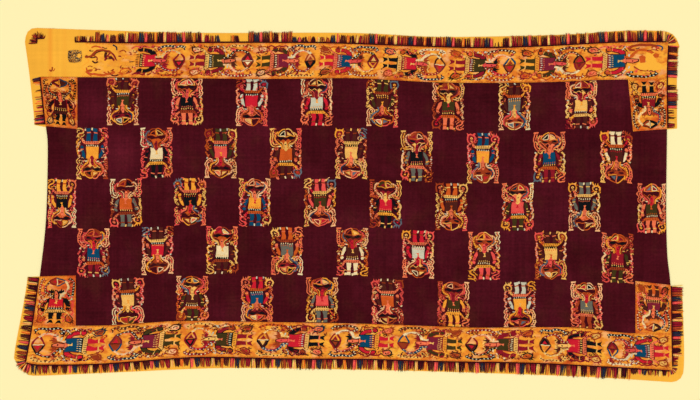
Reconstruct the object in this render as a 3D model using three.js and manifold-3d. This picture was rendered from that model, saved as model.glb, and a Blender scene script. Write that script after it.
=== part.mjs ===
// A funerary mantle of embroidered wool, laid out flat, face up, on the cotton cloth that supports it.
// X runs along the mantle, Y across it towards its top border, and Z up from the surface it lies on.
// All sizes are in millimetres.

import * as THREE from "three";
import { mergeVertices } from "three/addons/utils/BufferGeometryUtils.js";
import Module from "manifold-3d";

// Thickness of the layers, and the air left between two pieces.
const clearance = 0.3;
const supportThick = 1.2;
const groundThick = 1.2;
const returnThick = 1.2;
const scrapThick = 1.5;
const groundLevel = supportThick + clearance;
const returnLevel = groundLevel + groundThick + clearance;
const bandThick = returnLevel + returnThick - groundLevel;

// Fringe: a narrow woven heading, with locks of yarn that taper towards their tips.
const headingWide = 5;
const headingThick = 2.1;
const lockLift = 0.2;
const lockThick = 1.6;
const lockPitch = 20;
const lockRootWide = 17;
const lockRootSunk = 2;
const headingGap = 0.5;

// Spacing of the outline's points along a gently curved edge, and along the root of a fringe.
const edgeStep = 20;
const rootStep = 20;

// The support stays this far inside the ends of the ground cloth, where none of it shows.
const supportSetBack = 5;

// Corners of the ground cloth, and the outer corners of the bands.
const groundTopLeft = { x: -1155, y: 480 };
const groundTopRight = { x: 1190, y: 472 };
const groundBottomRight = { x: 1208, y: -484 };
const groundBottomLeft = { x: -1185, y: -452 };
const bandTopRight = { x: 1196, y: 609 };
const bandBottomRight = { x: 1211, y: -619 };
const bandBottomLeft = { x: -1209, y: -589 };

// Seam between the ground cloth and each long border band, and the outer edge of each band.
const topSeam = [
  groundTopLeft,
  { x: -780, y: 478 },
  { x: -335, y: 473 },
  { x: 5, y: 476 },
  { x: 155, y: 469 },
  { x: 305, y: 461 },
  { x: 490, y: 458 },
  { x: 755, y: 461 },
  { x: 940, y: 469 },
  groundTopRight,
];
const topEdge = [
  { x: -1025, y: 609 },
  { x: -780, y: 605 },
  { x: -335, y: 607 },
  { x: -35, y: 604 },
  { x: 265, y: 593 },
  { x: 490, y: 587 },
  { x: 715, y: 593 },
  { x: 1015, y: 608 },
  bandTopRight,
];
const bottomSeam = [
  groundBottomLeft,
  { x: -925, y: -452 },
  { x: -785, y: -444 },
  { x: -635, y: -435 },
  { x: -430, y: -437 },
  { x: 5, y: -444 },
  { x: 305, y: -454 },
  { x: 490, y: -460 },
  { x: 835, y: -459 },
  { x: 1015, y: -478 },
  groundBottomRight,
];
const bottomEdge = [
  bandBottomLeft,
  { x: -1160, y: -597 },
  { x: -970, y: -595 },
  { x: -820, y: -586 },
  { x: -670, y: -574 },
  { x: -520, y: -568 },
  { x: -220, y: -574 },
  { x: 80, y: -576 },
  { x: 380, y: -585 },
  { x: 680, y: -590 },
  { x: 980, y: -605 },
  bandBottomRight,
];

// Ends of the ground cloth and of the bands, from top to bottom.
const leftEnd = [
  groundTopLeft,
  { x: -1136, y: 296 },
  { x: -1129, y: 206 },
  { x: -1136, y: -56 },
  { x: -1159, y: -266 },
  groundBottomLeft,
  bandBottomLeft,
];
const rightEnd = [
  bandTopRight,
  groundTopRight,
  { x: 1192, y: 285 },
  { x: 1189, y: -4 },
  { x: 1193, y: -184 },
  { x: 1205, y: -300 },
  groundBottomRight,
  bandBottomRight,
];

// The left end of the top band is worn away: how far up the band, as a share of its width, and where it ends.
const wornEnd = [
  { share: 0, x: -1003 },
  { share: 0.14, x: -984 },
  { share: 0.3, x: -1000 },
  { share: 0.46, x: -972 },
  { share: 0.62, x: -986 },
  { share: 0.8, x: -966 },
  { share: 1, x: -990 },
];

// Each return is a panel over a corner of the ground cloth: its inner edge at the band and at its free end,
// and the height of its free end at the ground cloth's end and at the inner edge.
const returns = [
  { name: "return_top_left", band: topSeam, end: leftEnd, corner: groundTopLeft,
    innerAtBand: -1018, innerAtFree: -1018, freeAtEnd: 296, freeAtInner: 285 },
  { name: "return_top_right", band: topSeam, end: rightEnd, corner: groundTopRight,
    innerAtBand: 1046, innerAtFree: 1065, freeAtEnd: 285, freeAtInner: 276 },
  { name: "return_bottom_left", band: bottomSeam, end: leftEnd, corner: groundBottomLeft,
    innerAtBand: -1024, innerAtFree: -1024, freeAtEnd: -268, freeAtInner: -264 },
  { name: "return_bottom_right", band: bottomSeam, end: rightEnd, corner: groundBottomRight,
    innerAtBand: 1074, innerAtFree: 1074, freeAtEnd: -300, freeAtInner: -285 },
];

// Outline of the support cloth, clockwise: its four borders beyond the ground cloth's corners, the point that
// each rounded corner turns about, and where the outline steps in to the ground cloth's ends.
const supportTop = [
  { x: -1178, y: 664 },
  { x: -950, y: 656 },
  { x: -560, y: 645 },
  { x: 5, y: 645 },
  { x: 340, y: 630 },
  { x: 790, y: 638 },
  { x: 1025, y: 653 },
  { x: 1166, y: 653 },
];
const supportTopRight = [
  { x: 1239, y: 596 },
  { x: 1230, y: 536 },
  { x: 1230, y: 287 },
];
const supportBottomRight = [
  { x: 1249, y: -309 },
  { x: 1252, y: -394 },
  { x: 1256, y: -525 },
  { x: 1256, y: -604 },
];
const supportBottom = [
  { x: 1208, y: -664 },
  { x: 905, y: -645 },
  { x: 510, y: -630 },
  { x: 115, y: -619 },
  { x: -445, y: -611 },
  { x: -840, y: -626 },
  { x: -1160, y: -640 },
  { x: -1204, y: -634 },
];
const supportBottomLeft = [
  { x: -1256, y: -574 },
  { x: -1249, y: -521 },
  { x: -1219, y: -364 },
  { x: -1204, y: -270 },
];
const supportTopLeft = [
  { x: -1178, y: 300 },
  { x: -1189, y: 412 },
  { x: -1204, y: 536 },
  { x: -1215, y: 611 },
];
const supportTurn = {
  topRight: { x: 1226, y: 654 },
  bottomRight: { x: 1256, y: -664 },
  bottomLeft: { x: -1234, y: -622 },
  topLeft: { x: -1212, y: 662 },
};
const supportStepIn = { rightTop: 283, rightBottom: -304, leftBottom: -268, leftTop: 291 };
const supportDivisions = 4;

// Length and tip width of the locks along each run of fringe, up to a share of the run. Length 0 is a lost lock.
const topWear = [
  { until: 0.035, length: 22, tip: 9 },
  { until: 0.044, length: 36, tip: 12 },
  { until: 0.077, length: 28, tip: 10 },
  { until: 0.217, length: 36, tip: 13 },
  { until: 0.248, length: 28, tip: 8 },
  { until: 0.263, length: 0, tip: 0 },
  { until: 0.276, length: 26, tip: 8 },
  { until: 0.297, length: 0, tip: 0 },
  { until: 0.364, length: 37, tip: 14 },
  { until: 0.429, length: 18, tip: 6 },
  { until: 0.488, length: 30, tip: 9 },
  { until: 0.78, length: 34, tip: 13 },
  { until: 1, length: 38, tip: 14 },
];
const topLeftWear = [
  { until: 0.12, length: 33, tip: 8 },
  { until: 0.3, length: 0, tip: 0 },
  { until: 0.62, length: 20, tip: 5 },
  { until: 1, length: 36, tip: 10 },
];
const topRightWear = [
  { until: 0.4, length: 36, tip: 11 },
  { until: 0.49, length: 0, tip: 0 },
  { until: 0.78, length: 35, tip: 13 },
  { until: 1, length: 27, tip: 8 },
];
const bottomWear = [
  { until: 0.25, length: 34, tip: 6 },
  { until: 0.4, length: 31, tip: 6 },
  { until: 0.76, length: 37, tip: 9 },
  { until: 0.94, length: 36, tip: 8 },
  { until: 1, length: 20, tip: 5 },
];
const bottomLeftWear = [
  { until: 0.55, length: 36, tip: 8 },
  { until: 1, length: 38, tip: 6 },
];
const bottomRightWear = [
  { until: 0.6, length: 35, tip: 9 },
  { until: 0.85, length: 31, tip: 8 },
  { until: 1, length: 17, tip: 4 },
];

// Unevenness of the locks: share of their length, and lean to either side in degrees.
const lengthUneven = 0.1;
const leanUneven = 4;

// A lock is widest at its root; at this share of its length it has half its taper, and this share of its bend.
const lockMiddle = 0.5;
const bendAtMiddle = 0.4;

// A tuft of fringe is left at the top left corner, and a scrap of the band lies below it.
const tuft = { x: -1171, y: 620, arm: 24, locks: 7, fromAngle: 56, toAngle: 196, length: 34, rootWide: 6, tip: 3 };
const scrap = [
  { x: -1052, y: 578 },
  { x: -1026, y: 581 },
  { x: -1003, y: 577 },
  { x: -1001, y: 552 },
  { x: -1005, y: 537 },
  { x: -1030, y: 533 },
  { x: -1050, y: 536 },
  { x: -1054, y: 556 },
];

// Materials.
const cloth = (color, roughness) => new THREE.MeshStandardMaterial({ color, roughness, metalness: 0 });
const supportCotton = cloth(0xf2ae38, 0.95);
const groundWool = cloth(0x4a0f18, 0.92);
const borderStitching = cloth(0xd98f2b, 0.88);
const fringeWool = cloth(0x5a2420, 0.9);

// Fineness of the smooth lines, and the distances below which two points of an outline, or two vertices, are one.
const pointsPerRow = 40;
const samePoint = 0.2;
const sameVertex = 0.001;

const wasm = await Module();
wasm.setup();

const pointsOf = (rows) => rows.map((row) => new THREE.Vector2(row.x, row.y));

// A smooth line through a table's rows, as closely spaced points.
function smoothLine(rows) {
  return new THREE.SplineCurve(pointsOf(rows)).getPoints(rows.length * pointsPerRow);
}

// The line's value on one axis where it passes a value on the other.
function valueOn(points, axis, value) {
  const across = axis === "x" ? "y" : "x";
  const after = points.findIndex((p, i) => i > 0 && (p[axis] - value) * (points[i - 1][axis] - value) <= 0);
  const [a, b] = after < 0 ? points.slice(-2) : [points[after - 1], points[after]];
  const share = (value - a[axis]) / (b[axis] - a[axis]);
  return a[across] + share * (b[across] - a[across]);
}

// Evenly spaced numbers from one value to another, both included.
function spread(from, to, step) {
  const count = Math.max(1, Math.round(Math.abs(to - from) / step));
  return Array.from({ length: count + 1 }, (_, i) => from + ((to - from) * i) / count);
}

const lines = new Map();
for (const rows of [topSeam, topEdge, bottomSeam, bottomEdge, leftEnd, rightEnd]) lines.set(rows, smoothLine(rows));

// A stretch of a long edge between two x values, shifted across by an offset.
function alongLength(rows, from, to, offset = 0) {
  return spread(from, to, edgeStep).map((x) => new THREE.Vector2(x, valueOn(lines.get(rows), "x", x) + offset));
}

// A stretch of an end between two y values, shifted along by an offset.
function alongEnd(rows, from, to, offset = 0) {
  return spread(from, to, edgeStep).map((y) => new THREE.Vector2(valueOn(lines.get(rows), "y", y) + offset, y));
}

// The outline's points with those that fall on the one before left out.
function withoutRepeats(points) {
  return points.filter((p, i) => p.distanceTo(points[(i + points.length - 1) % points.length]) > samePoint);
}

// A flat sheet with that outline, from one level up to its thickness.
function sheet(points, level, thick) {
  const shape = new THREE.Shape(withoutRepeats(points));
  return new THREE.ExtrudeGeometry(shape, { depth: thick, bevelEnabled: false }).translate(0, 0, level);
}

function piece(name, geometry, material) {
  const mesh = new THREE.Mesh(geometry, material);
  mesh.name = name;
  return mesh;
}

// Ground cloth: one web from seam to seam and end to end, also below the returns.
function groundCloth() {
  const half = clearance / 2;
  const outline = [
    ...alongLength(topSeam, groundTopLeft.x, groundTopRight.x, -half),
    ...alongEnd(rightEnd, groundTopRight.y - half, groundBottomRight.y + half),
    ...alongLength(bottomSeam, groundBottomRight.x, groundBottomLeft.x, half),
    ...alongEnd(leftEnd, groundBottomLeft.y + half, groundTopLeft.y - half),
  ];
  return sheet(outline, groundLevel, groundThick);
}

// Top band, with its worn left end.
function topBand() {
  const half = clearance / 2;
  const worn = wornEnd.map((row) => {
    const low = valueOn(lines.get(topSeam), "x", row.x) + half;
    const high = valueOn(lines.get(topEdge), "x", row.x);
    return new THREE.Vector2(row.x, low + row.share * (high - low));
  });
  const outline = [
    ...worn,
    ...alongLength(topEdge, worn[worn.length - 1].x, bandTopRight.x),
    ...alongEnd(rightEnd, bandTopRight.y, groundTopRight.y + half),
    ...alongLength(topSeam, groundTopRight.x, worn[0].x, half),
  ];
  return sheet(outline, groundLevel, bandThick);
}

function bottomBand() {
  const half = clearance / 2;
  const outline = [
    ...alongLength(bottomSeam, groundBottomLeft.x, groundBottomRight.x, -half),
    ...alongEnd(rightEnd, groundBottomRight.y - half, bandBottomRight.y),
    ...alongLength(bottomEdge, bandBottomRight.x, bandBottomLeft.x),
    ...alongEnd(leftEnd, bandBottomLeft.y, groundBottomLeft.y - half),
  ];
  return sheet(outline, groundLevel, bandThick);
}

// A return lies over a corner of the ground cloth, level with the band beside it.
function returnPanel(row) {
  const inward = (row.band === topSeam ? -clearance : clearance) / 2;
  const outline = [
    ...alongLength(row.band, row.corner.x, row.innerAtBand, inward),
    new THREE.Vector2(row.innerAtFree, row.freeAtInner),
    ...alongEnd(row.end, row.freeAtEnd, row.corner.y + inward),
  ];
  return sheet(outline, returnLevel, returnThick);
}

// Support cloth: rounded corners, and a step in to the ground cloth's end between the returns.
function supportCloth() {
  const shape = new THREE.Shape();
  const lineTo = (p) => shape.lineTo(p.x, p.y);
  const corner = (turn, to) => shape.quadraticCurveTo(turn.x, turn.y, to.x, to.y);
  const border = (rows) => shape.splineThru(pointsOf(rows.slice(1)));
  shape.moveTo(supportTop[0].x, supportTop[0].y);
  border(supportTop);
  corner(supportTurn.topRight, supportTopRight[0]);
  border(supportTopRight);
  alongEnd(rightEnd, supportStepIn.rightTop, supportStepIn.rightBottom, -supportSetBack).forEach(lineTo);
  lineTo(supportBottomRight[0]);
  border(supportBottomRight);
  corner(supportTurn.bottomRight, supportBottom[0]);
  border(supportBottom);
  corner(supportTurn.bottomLeft, supportBottomLeft[0]);
  border(supportBottomLeft);
  alongEnd(leftEnd, supportStepIn.leftBottom, supportStepIn.leftTop, supportSetBack).forEach(lineTo);
  lineTo(supportTopLeft[0]);
  border(supportTopLeft);
  corner(supportTurn.topLeft, supportTop[0]);
  return sheet(shape.getPoints(supportDivisions), 0, supportThick);
}

// A solid of the boolean library from a closed geometry.
function solidOf(geometry) {
  const bare = geometry.clone();
  bare.deleteAttribute("normal");
  bare.deleteAttribute("uv");
  const merged = mergeVertices(bare, sameVertex);
  return new wasm.Manifold(new wasm.Mesh({
    numProp: 3,
    vertProperties: new Float32Array(merged.attributes.position.array),
    triVerts: new Uint32Array(merged.index.array),
  }));
}

function geometryOf(solid) {
  const mesh = solid.getMesh();
  const geometry = new THREE.BufferGeometry();
  geometry.setAttribute("position", new THREE.BufferAttribute(new Float32Array(mesh.vertProperties), 3));
  geometry.setIndex(new THREE.BufferAttribute(new Uint32Array(mesh.triVerts), 1));
  return geometry;
}

// A fixed number from 0 to 1 for each lock, so that the locks are uneven in the same way each time.
function uneven(index, salt) {
  const wave = Math.sin(index * 12.9898 + salt * 78.233) * 43758.5453;
  return wave - Math.floor(wave);
}

// One lock, flat on the support: its root sits in the heading, and it narrows and bends a little to its tip.
function lock(root, direction, length, rootWide, tipWide, bend) {
  const across = new THREE.Vector2(-direction.y, direction.x);
  const at = (out, side) => root.clone().addScaledVector(direction, out).addScaledVector(across, side);
  const midWide = (rootWide + tipWide) / 2;
  return sheet(
    [
      at(-lockRootSunk, -rootWide / 2),
      at(length * lockMiddle, -midWide / 2 + bend * bendAtMiddle),
      at(length, -tipWide / 2 + bend),
      at(length, tipWide / 2 + bend),
      at(length * lockMiddle, midWide / 2 + bend * bendAtMiddle),
      at(-lockRootSunk, rootWide / 2),
    ],
    groundLevel + lockLift,
    lockThick,
  );
}

// The heading: a strip along the root line, on its outer side.
function heading(rootPoints, outward) {
  const normals = rootPoints.map((_, i) => {
    const before = rootPoints[Math.max(0, i - 1)];
    const after = rootPoints[Math.min(rootPoints.length - 1, i + 1)];
    const along = after.clone().sub(before).normalize();
    return new THREE.Vector2(-along.y, along.x).multiplyScalar(outward);
  });
  const inner = rootPoints.map((p, i) => p.clone().addScaledVector(normals[i], headingGap));
  const outer = rootPoints.map((p, i) => p.clone().addScaledVector(normals[i], headingGap + headingWide));
  return sheet([...inner, ...outer.reverse()], groundLevel, headingThick);
}

// One run of fringe: its heading and its locks, fused at their roots.
// A fan adds locks that turn round the corner at one end of the run.
function fringeRun(run) {
  const curve = new THREE.SplineCurve(run.root);
  const length = curve.getLength();
  const rootPoints = curve.getSpacedPoints(Math.round(length / rootStep));
  const solids = [solidOf(heading(rootPoints, run.outward))];
  const count = Math.floor(length / lockPitch);
  for (let i = 0; i < count; i += 1) {
    const share = (i + 0.5) / count;
    const wear = run.wear.find((row) => share <= row.until);
    if (wear.length === 0) continue;
    const along = curve.getTangentAt(share);
    const out = new THREE.Vector2(-along.y, along.x).multiplyScalar(run.outward);
    const lean = THREE.MathUtils.degToRad((uneven(i, run.salt) - 0.5) * 2 * leanUneven);
    const long = wear.length * (1 + (uneven(i, run.salt + 1) - 0.5) * 2 * lengthUneven);
    const root = curve.getPointAt(share).addScaledVector(out, headingGap + headingWide);
    solids.push(solidOf(lock(root, out, long, lockRootWide, wear.tip, Math.tan(lean) * long)));
  }
  for (const fan of run.fans) {
    for (let i = 0; i < fan.locks; i += 1) {
      const angle = THREE.MathUtils.degToRad(fan.fromAngle + ((fan.toAngle - fan.fromAngle) * i) / (fan.locks - 1));
      const direction = new THREE.Vector2(Math.cos(angle), Math.sin(angle));
      const root = new THREE.Vector2(fan.x, fan.y).addScaledVector(direction, headingWide / 2);
      const long = fan.length * (1 + (uneven(i, run.salt + 2) - 0.5) * 2 * lengthUneven);
      solids.push(solidOf(lock(root, direction, long, fan.rootWide, fan.tip, 0)));
    }
  }
  return geometryOf(solids.reduce((whole, solid) => whole.add(solid)));
}

// The runs of fringe: root line, side that it points to, wear, and the fans at the corners.
const runs = [
  { name: "fringe_top", root: alongLength(topEdge, -1022, 1192), outward: 1, wear: topWear, salt: 1,
    fans: [{ x: 1189, y: 613, locks: 4, fromAngle: 72, toAngle: 30, length: 36, rootWide: 5, tip: 5 }] },
  { name: "fringe_top_left", root: pointsOf([{ x: -1155.5, y: 476 }, { x: -1137, y: 302 }]), outward: -1,
    wear: topLeftWear, salt: 5, fans: [] },
  { name: "fringe_top_right", root: alongEnd(rightEnd, 598, 288), outward: 1, wear: topRightWear, salt: 9, fans: [] },
  { name: "fringe_bottom", root: alongLength(bottomEdge, -1196, 1200), outward: -1, wear: bottomWear, salt: 13,
    fans: [{ x: -1192, y: -596, locks: 4, fromAngle: 205, toAngle: 255, length: 38, rootWide: 5, tip: 5 }] },
  { name: "fringe_bottom_left", root: alongEnd(leftEnd, -272, -576), outward: -1, wear: bottomLeftWear, salt: 17,
    fans: [] },
  { name: "fringe_bottom_right", root: alongEnd(rightEnd, -304, -606), outward: 1, wear: bottomRightWear, salt: 21,
    fans: [] },
];

// The tuft left at the lost corner: two short arms of heading, and a fan of thin locks.
function cornerTuft() {
  const half = headingWide / 2;
  const arms = [
    [{ x: -half, y: -half }, { x: tuft.arm, y: -half }, { x: tuft.arm, y: half }, { x: -half, y: half }],
    [{ x: -half, y: -tuft.arm }, { x: half, y: -tuft.arm }, { x: half, y: half }, { x: -half, y: half }],
  ];
  const solids = arms.map((corners) => {
    const outline = corners.map((p) => new THREE.Vector2(tuft.x + p.x, tuft.y + p.y));
    return solidOf(sheet(outline, groundLevel, headingThick));
  });
  for (let i = 0; i < tuft.locks; i += 1) {
    const angle = THREE.MathUtils.degToRad(tuft.fromAngle + ((tuft.toAngle - tuft.fromAngle) * i) / (tuft.locks - 1));
    const direction = new THREE.Vector2(Math.cos(angle), Math.sin(angle));
    const root = new THREE.Vector2(tuft.x, tuft.y).addScaledVector(direction, half);
    const long = tuft.length * (1 + (uneven(i, 25) - 0.5) * 2 * lengthUneven);
    solids.push(solidOf(lock(root, direction, long, tuft.rootWide, tuft.tip, 0)));
  }
  return geometryOf(solids.reduce((whole, solid) => whole.add(solid)));
}

const mantle = new THREE.Group();
mantle.name = "funerary_mantle";
mantle.add(piece("support_cloth", supportCloth(), supportCotton));
mantle.add(piece("ground_cloth", groundCloth(), groundWool));
mantle.add(piece("band_top", topBand(), borderStitching));
mantle.add(piece("band_bottom", bottomBand(), borderStitching));
for (const row of returns) mantle.add(piece(row.name, returnPanel(row), borderStitching));
for (const run of runs) mantle.add(piece(run.name, fringeRun(run), fringeWool));
mantle.add(piece("fringe_tuft", cornerTuft(), fringeWool));
mantle.add(piece("band_scrap", sheet(pointsOf(scrap), groundLevel, scrapThick), borderStitching));

// The origin is below the middle of the whole mantle, on the surface that it lies on.
const box = new THREE.Box3().setFromObject(mantle);
const middle = box.getCenter(new THREE.Vector3());
for (const mesh of mantle.children) mesh.position.set(-middle.x, -middle.y, -box.min.z);

export default mantle;
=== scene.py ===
import math

import bpy
import numpy as np
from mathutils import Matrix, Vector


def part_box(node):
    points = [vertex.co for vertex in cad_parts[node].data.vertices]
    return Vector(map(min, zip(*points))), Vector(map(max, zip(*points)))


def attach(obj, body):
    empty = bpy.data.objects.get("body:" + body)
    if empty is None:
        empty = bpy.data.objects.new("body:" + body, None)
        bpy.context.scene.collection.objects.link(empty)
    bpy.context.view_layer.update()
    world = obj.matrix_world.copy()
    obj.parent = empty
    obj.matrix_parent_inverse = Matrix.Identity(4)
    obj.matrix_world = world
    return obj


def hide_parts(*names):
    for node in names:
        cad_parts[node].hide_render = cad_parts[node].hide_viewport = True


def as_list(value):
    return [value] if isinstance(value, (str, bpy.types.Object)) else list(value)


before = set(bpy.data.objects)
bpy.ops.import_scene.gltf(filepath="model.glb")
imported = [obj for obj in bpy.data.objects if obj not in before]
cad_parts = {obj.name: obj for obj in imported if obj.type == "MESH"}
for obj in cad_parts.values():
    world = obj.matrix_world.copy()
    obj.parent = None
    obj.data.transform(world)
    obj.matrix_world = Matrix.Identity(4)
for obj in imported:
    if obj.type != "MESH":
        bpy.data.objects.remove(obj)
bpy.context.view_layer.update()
mm = 0.001
print("frame loaded,", len(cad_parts), "nodes")

# The dyer's colours, in sRGB
dyes = {
    "maroon": (70, 12, 21),
    "marigold": (255, 180, 58),
    "gold": (250, 160, 50),
    "straw": (246, 184, 92),
    "cream": (242, 214, 160),
    "pearl": (206, 198, 168),
    "scarlet": (208, 30, 46),
    "crimson": (142, 24, 36),
    "rose": (236, 82, 72),
    "salmon": (242, 116, 74),
    "peach": (250, 184, 126),
    "ochre": (208, 87, 30),
    "rust": (162, 60, 28),
    "brown": (80, 32, 24),
    "plum": (126, 32, 50),
    "blue": (12, 70, 98),
    "navy": (25, 43, 58),
    "slate": (98, 108, 116),
    "grey": (106, 102, 88),
    "olive": (66, 52, 22),
    "black": (20, 19, 21),
    "floor": (255, 241, 180),  # not a dye, but the stage below
}


def dyeColor(name, tone=1.0):
    srgb = np.array(dyes[name]) / 255
    flat = np.where(srgb <= 0.04045, srgb / 12.92, ((srgb + 0.055) / 1.055) ** 2.4)
    return (*np.clip(flat * tone, 0, 1), 1.0)


# Materials

def newMaterial(name, roughness, gloss=0.03):
    material = bpy.data.materials.new(name)
    material.use_nodes = True
    shader = material.node_tree.nodes["Principled BSDF"]
    shader.inputs["Roughness"].default_value = roughness
    shader.inputs["Specular IOR Level"].default_value = gloss
    return material, material.node_tree, shader


def addNode(tree, kind, inputs=None, **settings):
    node = tree.nodes.new(kind)
    for key, value in settings.items():
        setattr(node, key, value)
    for key, value in (inputs or {}).items():
        if isinstance(value, bpy.types.NodeSocket):
            tree.links.new(value, node.inputs[key])
        else:
            node.inputs[key].default_value = value
    return node


def tinted(tree, blend, factor, first, second):
    return addNode(tree, "ShaderNodeMix", {0: factor, 6: first, 7: second}, data_type="RGBA",
                   blend_type=blend).outputs[2]


def between(tree, value, low, high, to):
    return addNode(tree, "ShaderNodeMapRange", {"Value": value, "From Min": low, "From Max": high,
                                                "To Min": to[0], "To Max": to[1]}).outputs["Result"]


def noise(tree, place, scale, detail=3.0):
    stretched = addNode(tree, "ShaderNodeMapping", {"Vector": place, "Scale": scale})
    return addNode(tree, "ShaderNodeTexNoise", {"Vector": stretched.outputs["Vector"], "Scale": 1.0,
                                                "Detail": detail}).outputs["Fac"]


def waves(tree, place, pitch, direction, wander=0.0):
    # Blender's bands repeat every 0.314 of a unit at scale 1
    inputs = {"Vector": place, "Scale": 0.314 / pitch, "Distortion": wander, "Detail Scale": 1.5}
    return addNode(tree, "ShaderNodeTexWave", inputs, bands_direction=direction).outputs["Fac"]


def ramp(tree, value, stops):
    node = addNode(tree, "ShaderNodeValToRGB", {"Fac": value})
    while len(node.color_ramp.elements) < len(stops):
        node.color_ramp.elements.new(0.5)
    for element, (at, *dye) in zip(node.color_ramp.elements, stops):
        element.position = at
        element.color = dyeColor(*dye)
    return node.outputs["Color"]


def computed(tree, operation, *values):
    return addNode(tree, "ShaderNodeMath", dict(enumerate(values)), operation=operation).outputs["Value"]


def shaded(tree, color, value, shades, low=0.0, high=1.0):
    return tinted(tree, "MULTIPLY", 1.0, color, between(tree, value, low, high, shades))


# Lighter and darker patches, over the middle of the noise's range
def mottled(tree, place, color, scale, shades):
    return shaded(tree, color, noise(tree, place, scale, 2.0), shades, 0.3, 0.7)


def startLook(look):
    material, tree, shader = newMaterial(look["name"], look["roughness"])
    return material, tree, shader, addNode(tree, "ShaderNodeTexCoord").outputs["Object"]


# The colour, and a low relief that has a depth and a strength
def finishLook(tree, shader, color, height, relief):
    tree.links.new(color, shader.inputs["Base Color"])
    bump = addNode(tree, "ShaderNodeBump", {"Height": height, "Distance": relief[0], "Strength": relief[1]})
    tree.links.new(bump.outputs["Normal"], shader.inputs["Normal"])


# Stains over one another: scale, from and to which level of the noise, amount, dye and tone of each
def stained(tree, place, color, stains):
    for scale, low, high, amount, *dye in stains:
        spotted = between(tree, noise(tree, place, scale, 4.0), low, high, (0.0, amount))
        color = tinted(tree, "MIX", spotted, color, dyeColor(*dye))
    return color


# How far out from the middle of an oval, which is 1 at its rim: place and half size, in metres
def fromOval(tree, place, x, y, wide, high):
    spot = addNode(tree, "ShaderNodeMapping", {"Vector": place, "Location": (-x / wide, -y / high, 0),
                                               "Scale": (1 / wide, 1 / high, 0)}).outputs["Vector"]
    return addNode(tree, "ShaderNodeVectorMath", {0: spot}, operation="LENGTH").outputs["Value"]


# Plain-woven cloth: tones in soft patches, streaks of uneven yarn both ways, the weave itself, and painted
# shade along creases
def wovenCloth(look):
    material, tree, shader, place = startLook(look)
    color = ramp(tree, noise(tree, place, look["patches"], 4.0), look["tones"])
    color = stained(tree, place, color, look["stains"])
    for oval, amount in look["faded"]:
        paler = between(tree, fromOval(tree, place, *oval), 0.1, 1.0, (amount, 0.0))
        color = tinted(tree, "MIX", paler, color, look["fadedColor"])
    for scale, amount in look["streaks"]:
        color = mottled(tree, place, color, scale, (1 - amount, 1 + amount))
    warp, weft = (waves(tree, place, look["pitch"], direction, look["wander"]) for direction in "XY")
    weave = computed(tree, "MULTIPLY", warp, weft)
    color = shaded(tree, color, weave, look["shades"])
    across = addNode(tree, "ShaderNodeSeparateXYZ", {0: place}).outputs["X"]
    # Painted shade along each crease, darkest at its middle
    for x, wide, amount in look["creaseShades"]:
        away = computed(tree, "ABSOLUTE", computed(tree, "SUBTRACT", across, x))
        creaseShade = between(tree, away, 0.0, wide, (amount, 0.0))
        color = tinted(tree, "MIX", creaseShade, color, look["creaseShadeColor"])
    finishLook(tree, shader, color, weave, look["relief"])
    return material


weaveLook = {"shades": (0.93, 1.06), "wander": 0.4, "relief": (0.3 * mm, 0.35), "faded": [], "creaseShades": []}
groundLook = {
    **weaveLook, "name": "maroonWool", "roughness": 0.92, "pitch": 1.6 * mm,
    "patches": (2.2, 3.4, 1.0),
    "tones": [(0.3, "maroon", 0.78), (0.5, "maroon", 1.0), (0.72, "plum", 0.38)],
    "stains": [((7, 6, 1), 0.5, 0.72, 0.65, "plum", 0.5),
               ((12, 9, 1), 0.52, 0.74, 0.5, "brown", 0.9),
               ((9, 14, 1), 0.54, 0.74, 0.5, "maroon", 0.5)],
    "streaks": [((90, 2.5, 1), 0.12), ((3, 120, 1), 0.1), ((110, 110, 1), 0.16)],
    "faded": [((-0.955, 0.36, 0.09, 0.1), 0.6), ((-0.86, 0.2, 0.09, 0.1), 0.9)],  # oval, and how faded it is
    "fadedColor": dyeColor("plum", 0.56),
}
supportLook = {
    **weaveLook, "name": "marigoldCotton", "roughness": 0.95, "pitch": 1.2 * mm,
    "patches": (4, 4, 1.0),
    "tones": [(0.3, "marigold", 0.93), (0.6, "marigold", 1.02)],
    "stains": [((5, 4, 1), 0.55, 0.75, 0.25, "gold")],
    "streaks": [((70, 3, 1), 0.04), ((3, 90, 1), 0.03)],
    # Painted shade along creases of the cloth, in a darker gold
    "creaseShades": [(-1.12, 13 * mm, 0.85), (-1.066, 12 * mm, 0.2)],  # place, half width and strength of each
    "creaseShadeColor": dyeColor("gold", 0.94),
}


# Bare marigold in ovals, whose rims are as ragged as the noise
bare = {"scale": (70, 70, 1), "ragged": 0.9, "rim": (1.34, 1.46), "color": dyeColor("marigold", 0.98)}


def wornThrough(tree, place, color, ovals):
    for oval in ovals:
        away = fromOval(tree, place, *oval)
        ragged = computed(tree, "MULTIPLY_ADD", noise(tree, place, bare["scale"]), bare["ragged"], away)
        worn = between(tree, ragged, *bare["rim"], (1.0, 0.0))
        color = tinted(tree, "MIX", worn, color, bare["color"])
    return color


# Border ground: rows of stem stitch in gold, darker and redder where it is soiled, bare where it is worn
def stitchedGold(look):
    material, tree, shader, place = startLook(look)
    soiled = noise(tree, place, look["soilScale"], 5.0)
    color = ramp(tree, soiled, look["tones"])
    color = mottled(tree, place, color, look["stitchScale"], look["stitchShades"])
    rows = waves(tree, place, look["rowPitch"], "Y", look["wander"])
    color = shaded(tree, color, rows, look["rowShades"])
    color = stained(tree, place, color, look["stains"])
    if "wornTo" in look:
        along = addNode(tree, "ShaderNodeSeparateXYZ", {0: place}).outputs["X"]
        ragged = computed(tree, "MULTIPLY_ADD", soiled, look["ragged"], along)
        worn = between(tree, ragged, *look["wornTo"], (1.0, 0.0))
        color = tinted(tree, "MIX", worn, color, dyeColor("marigold"))
    color = wornThrough(tree, place, color, look.get("wornSpots", []))
    finishLook(tree, shader, color, rows, look["relief"])
    return material


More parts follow.
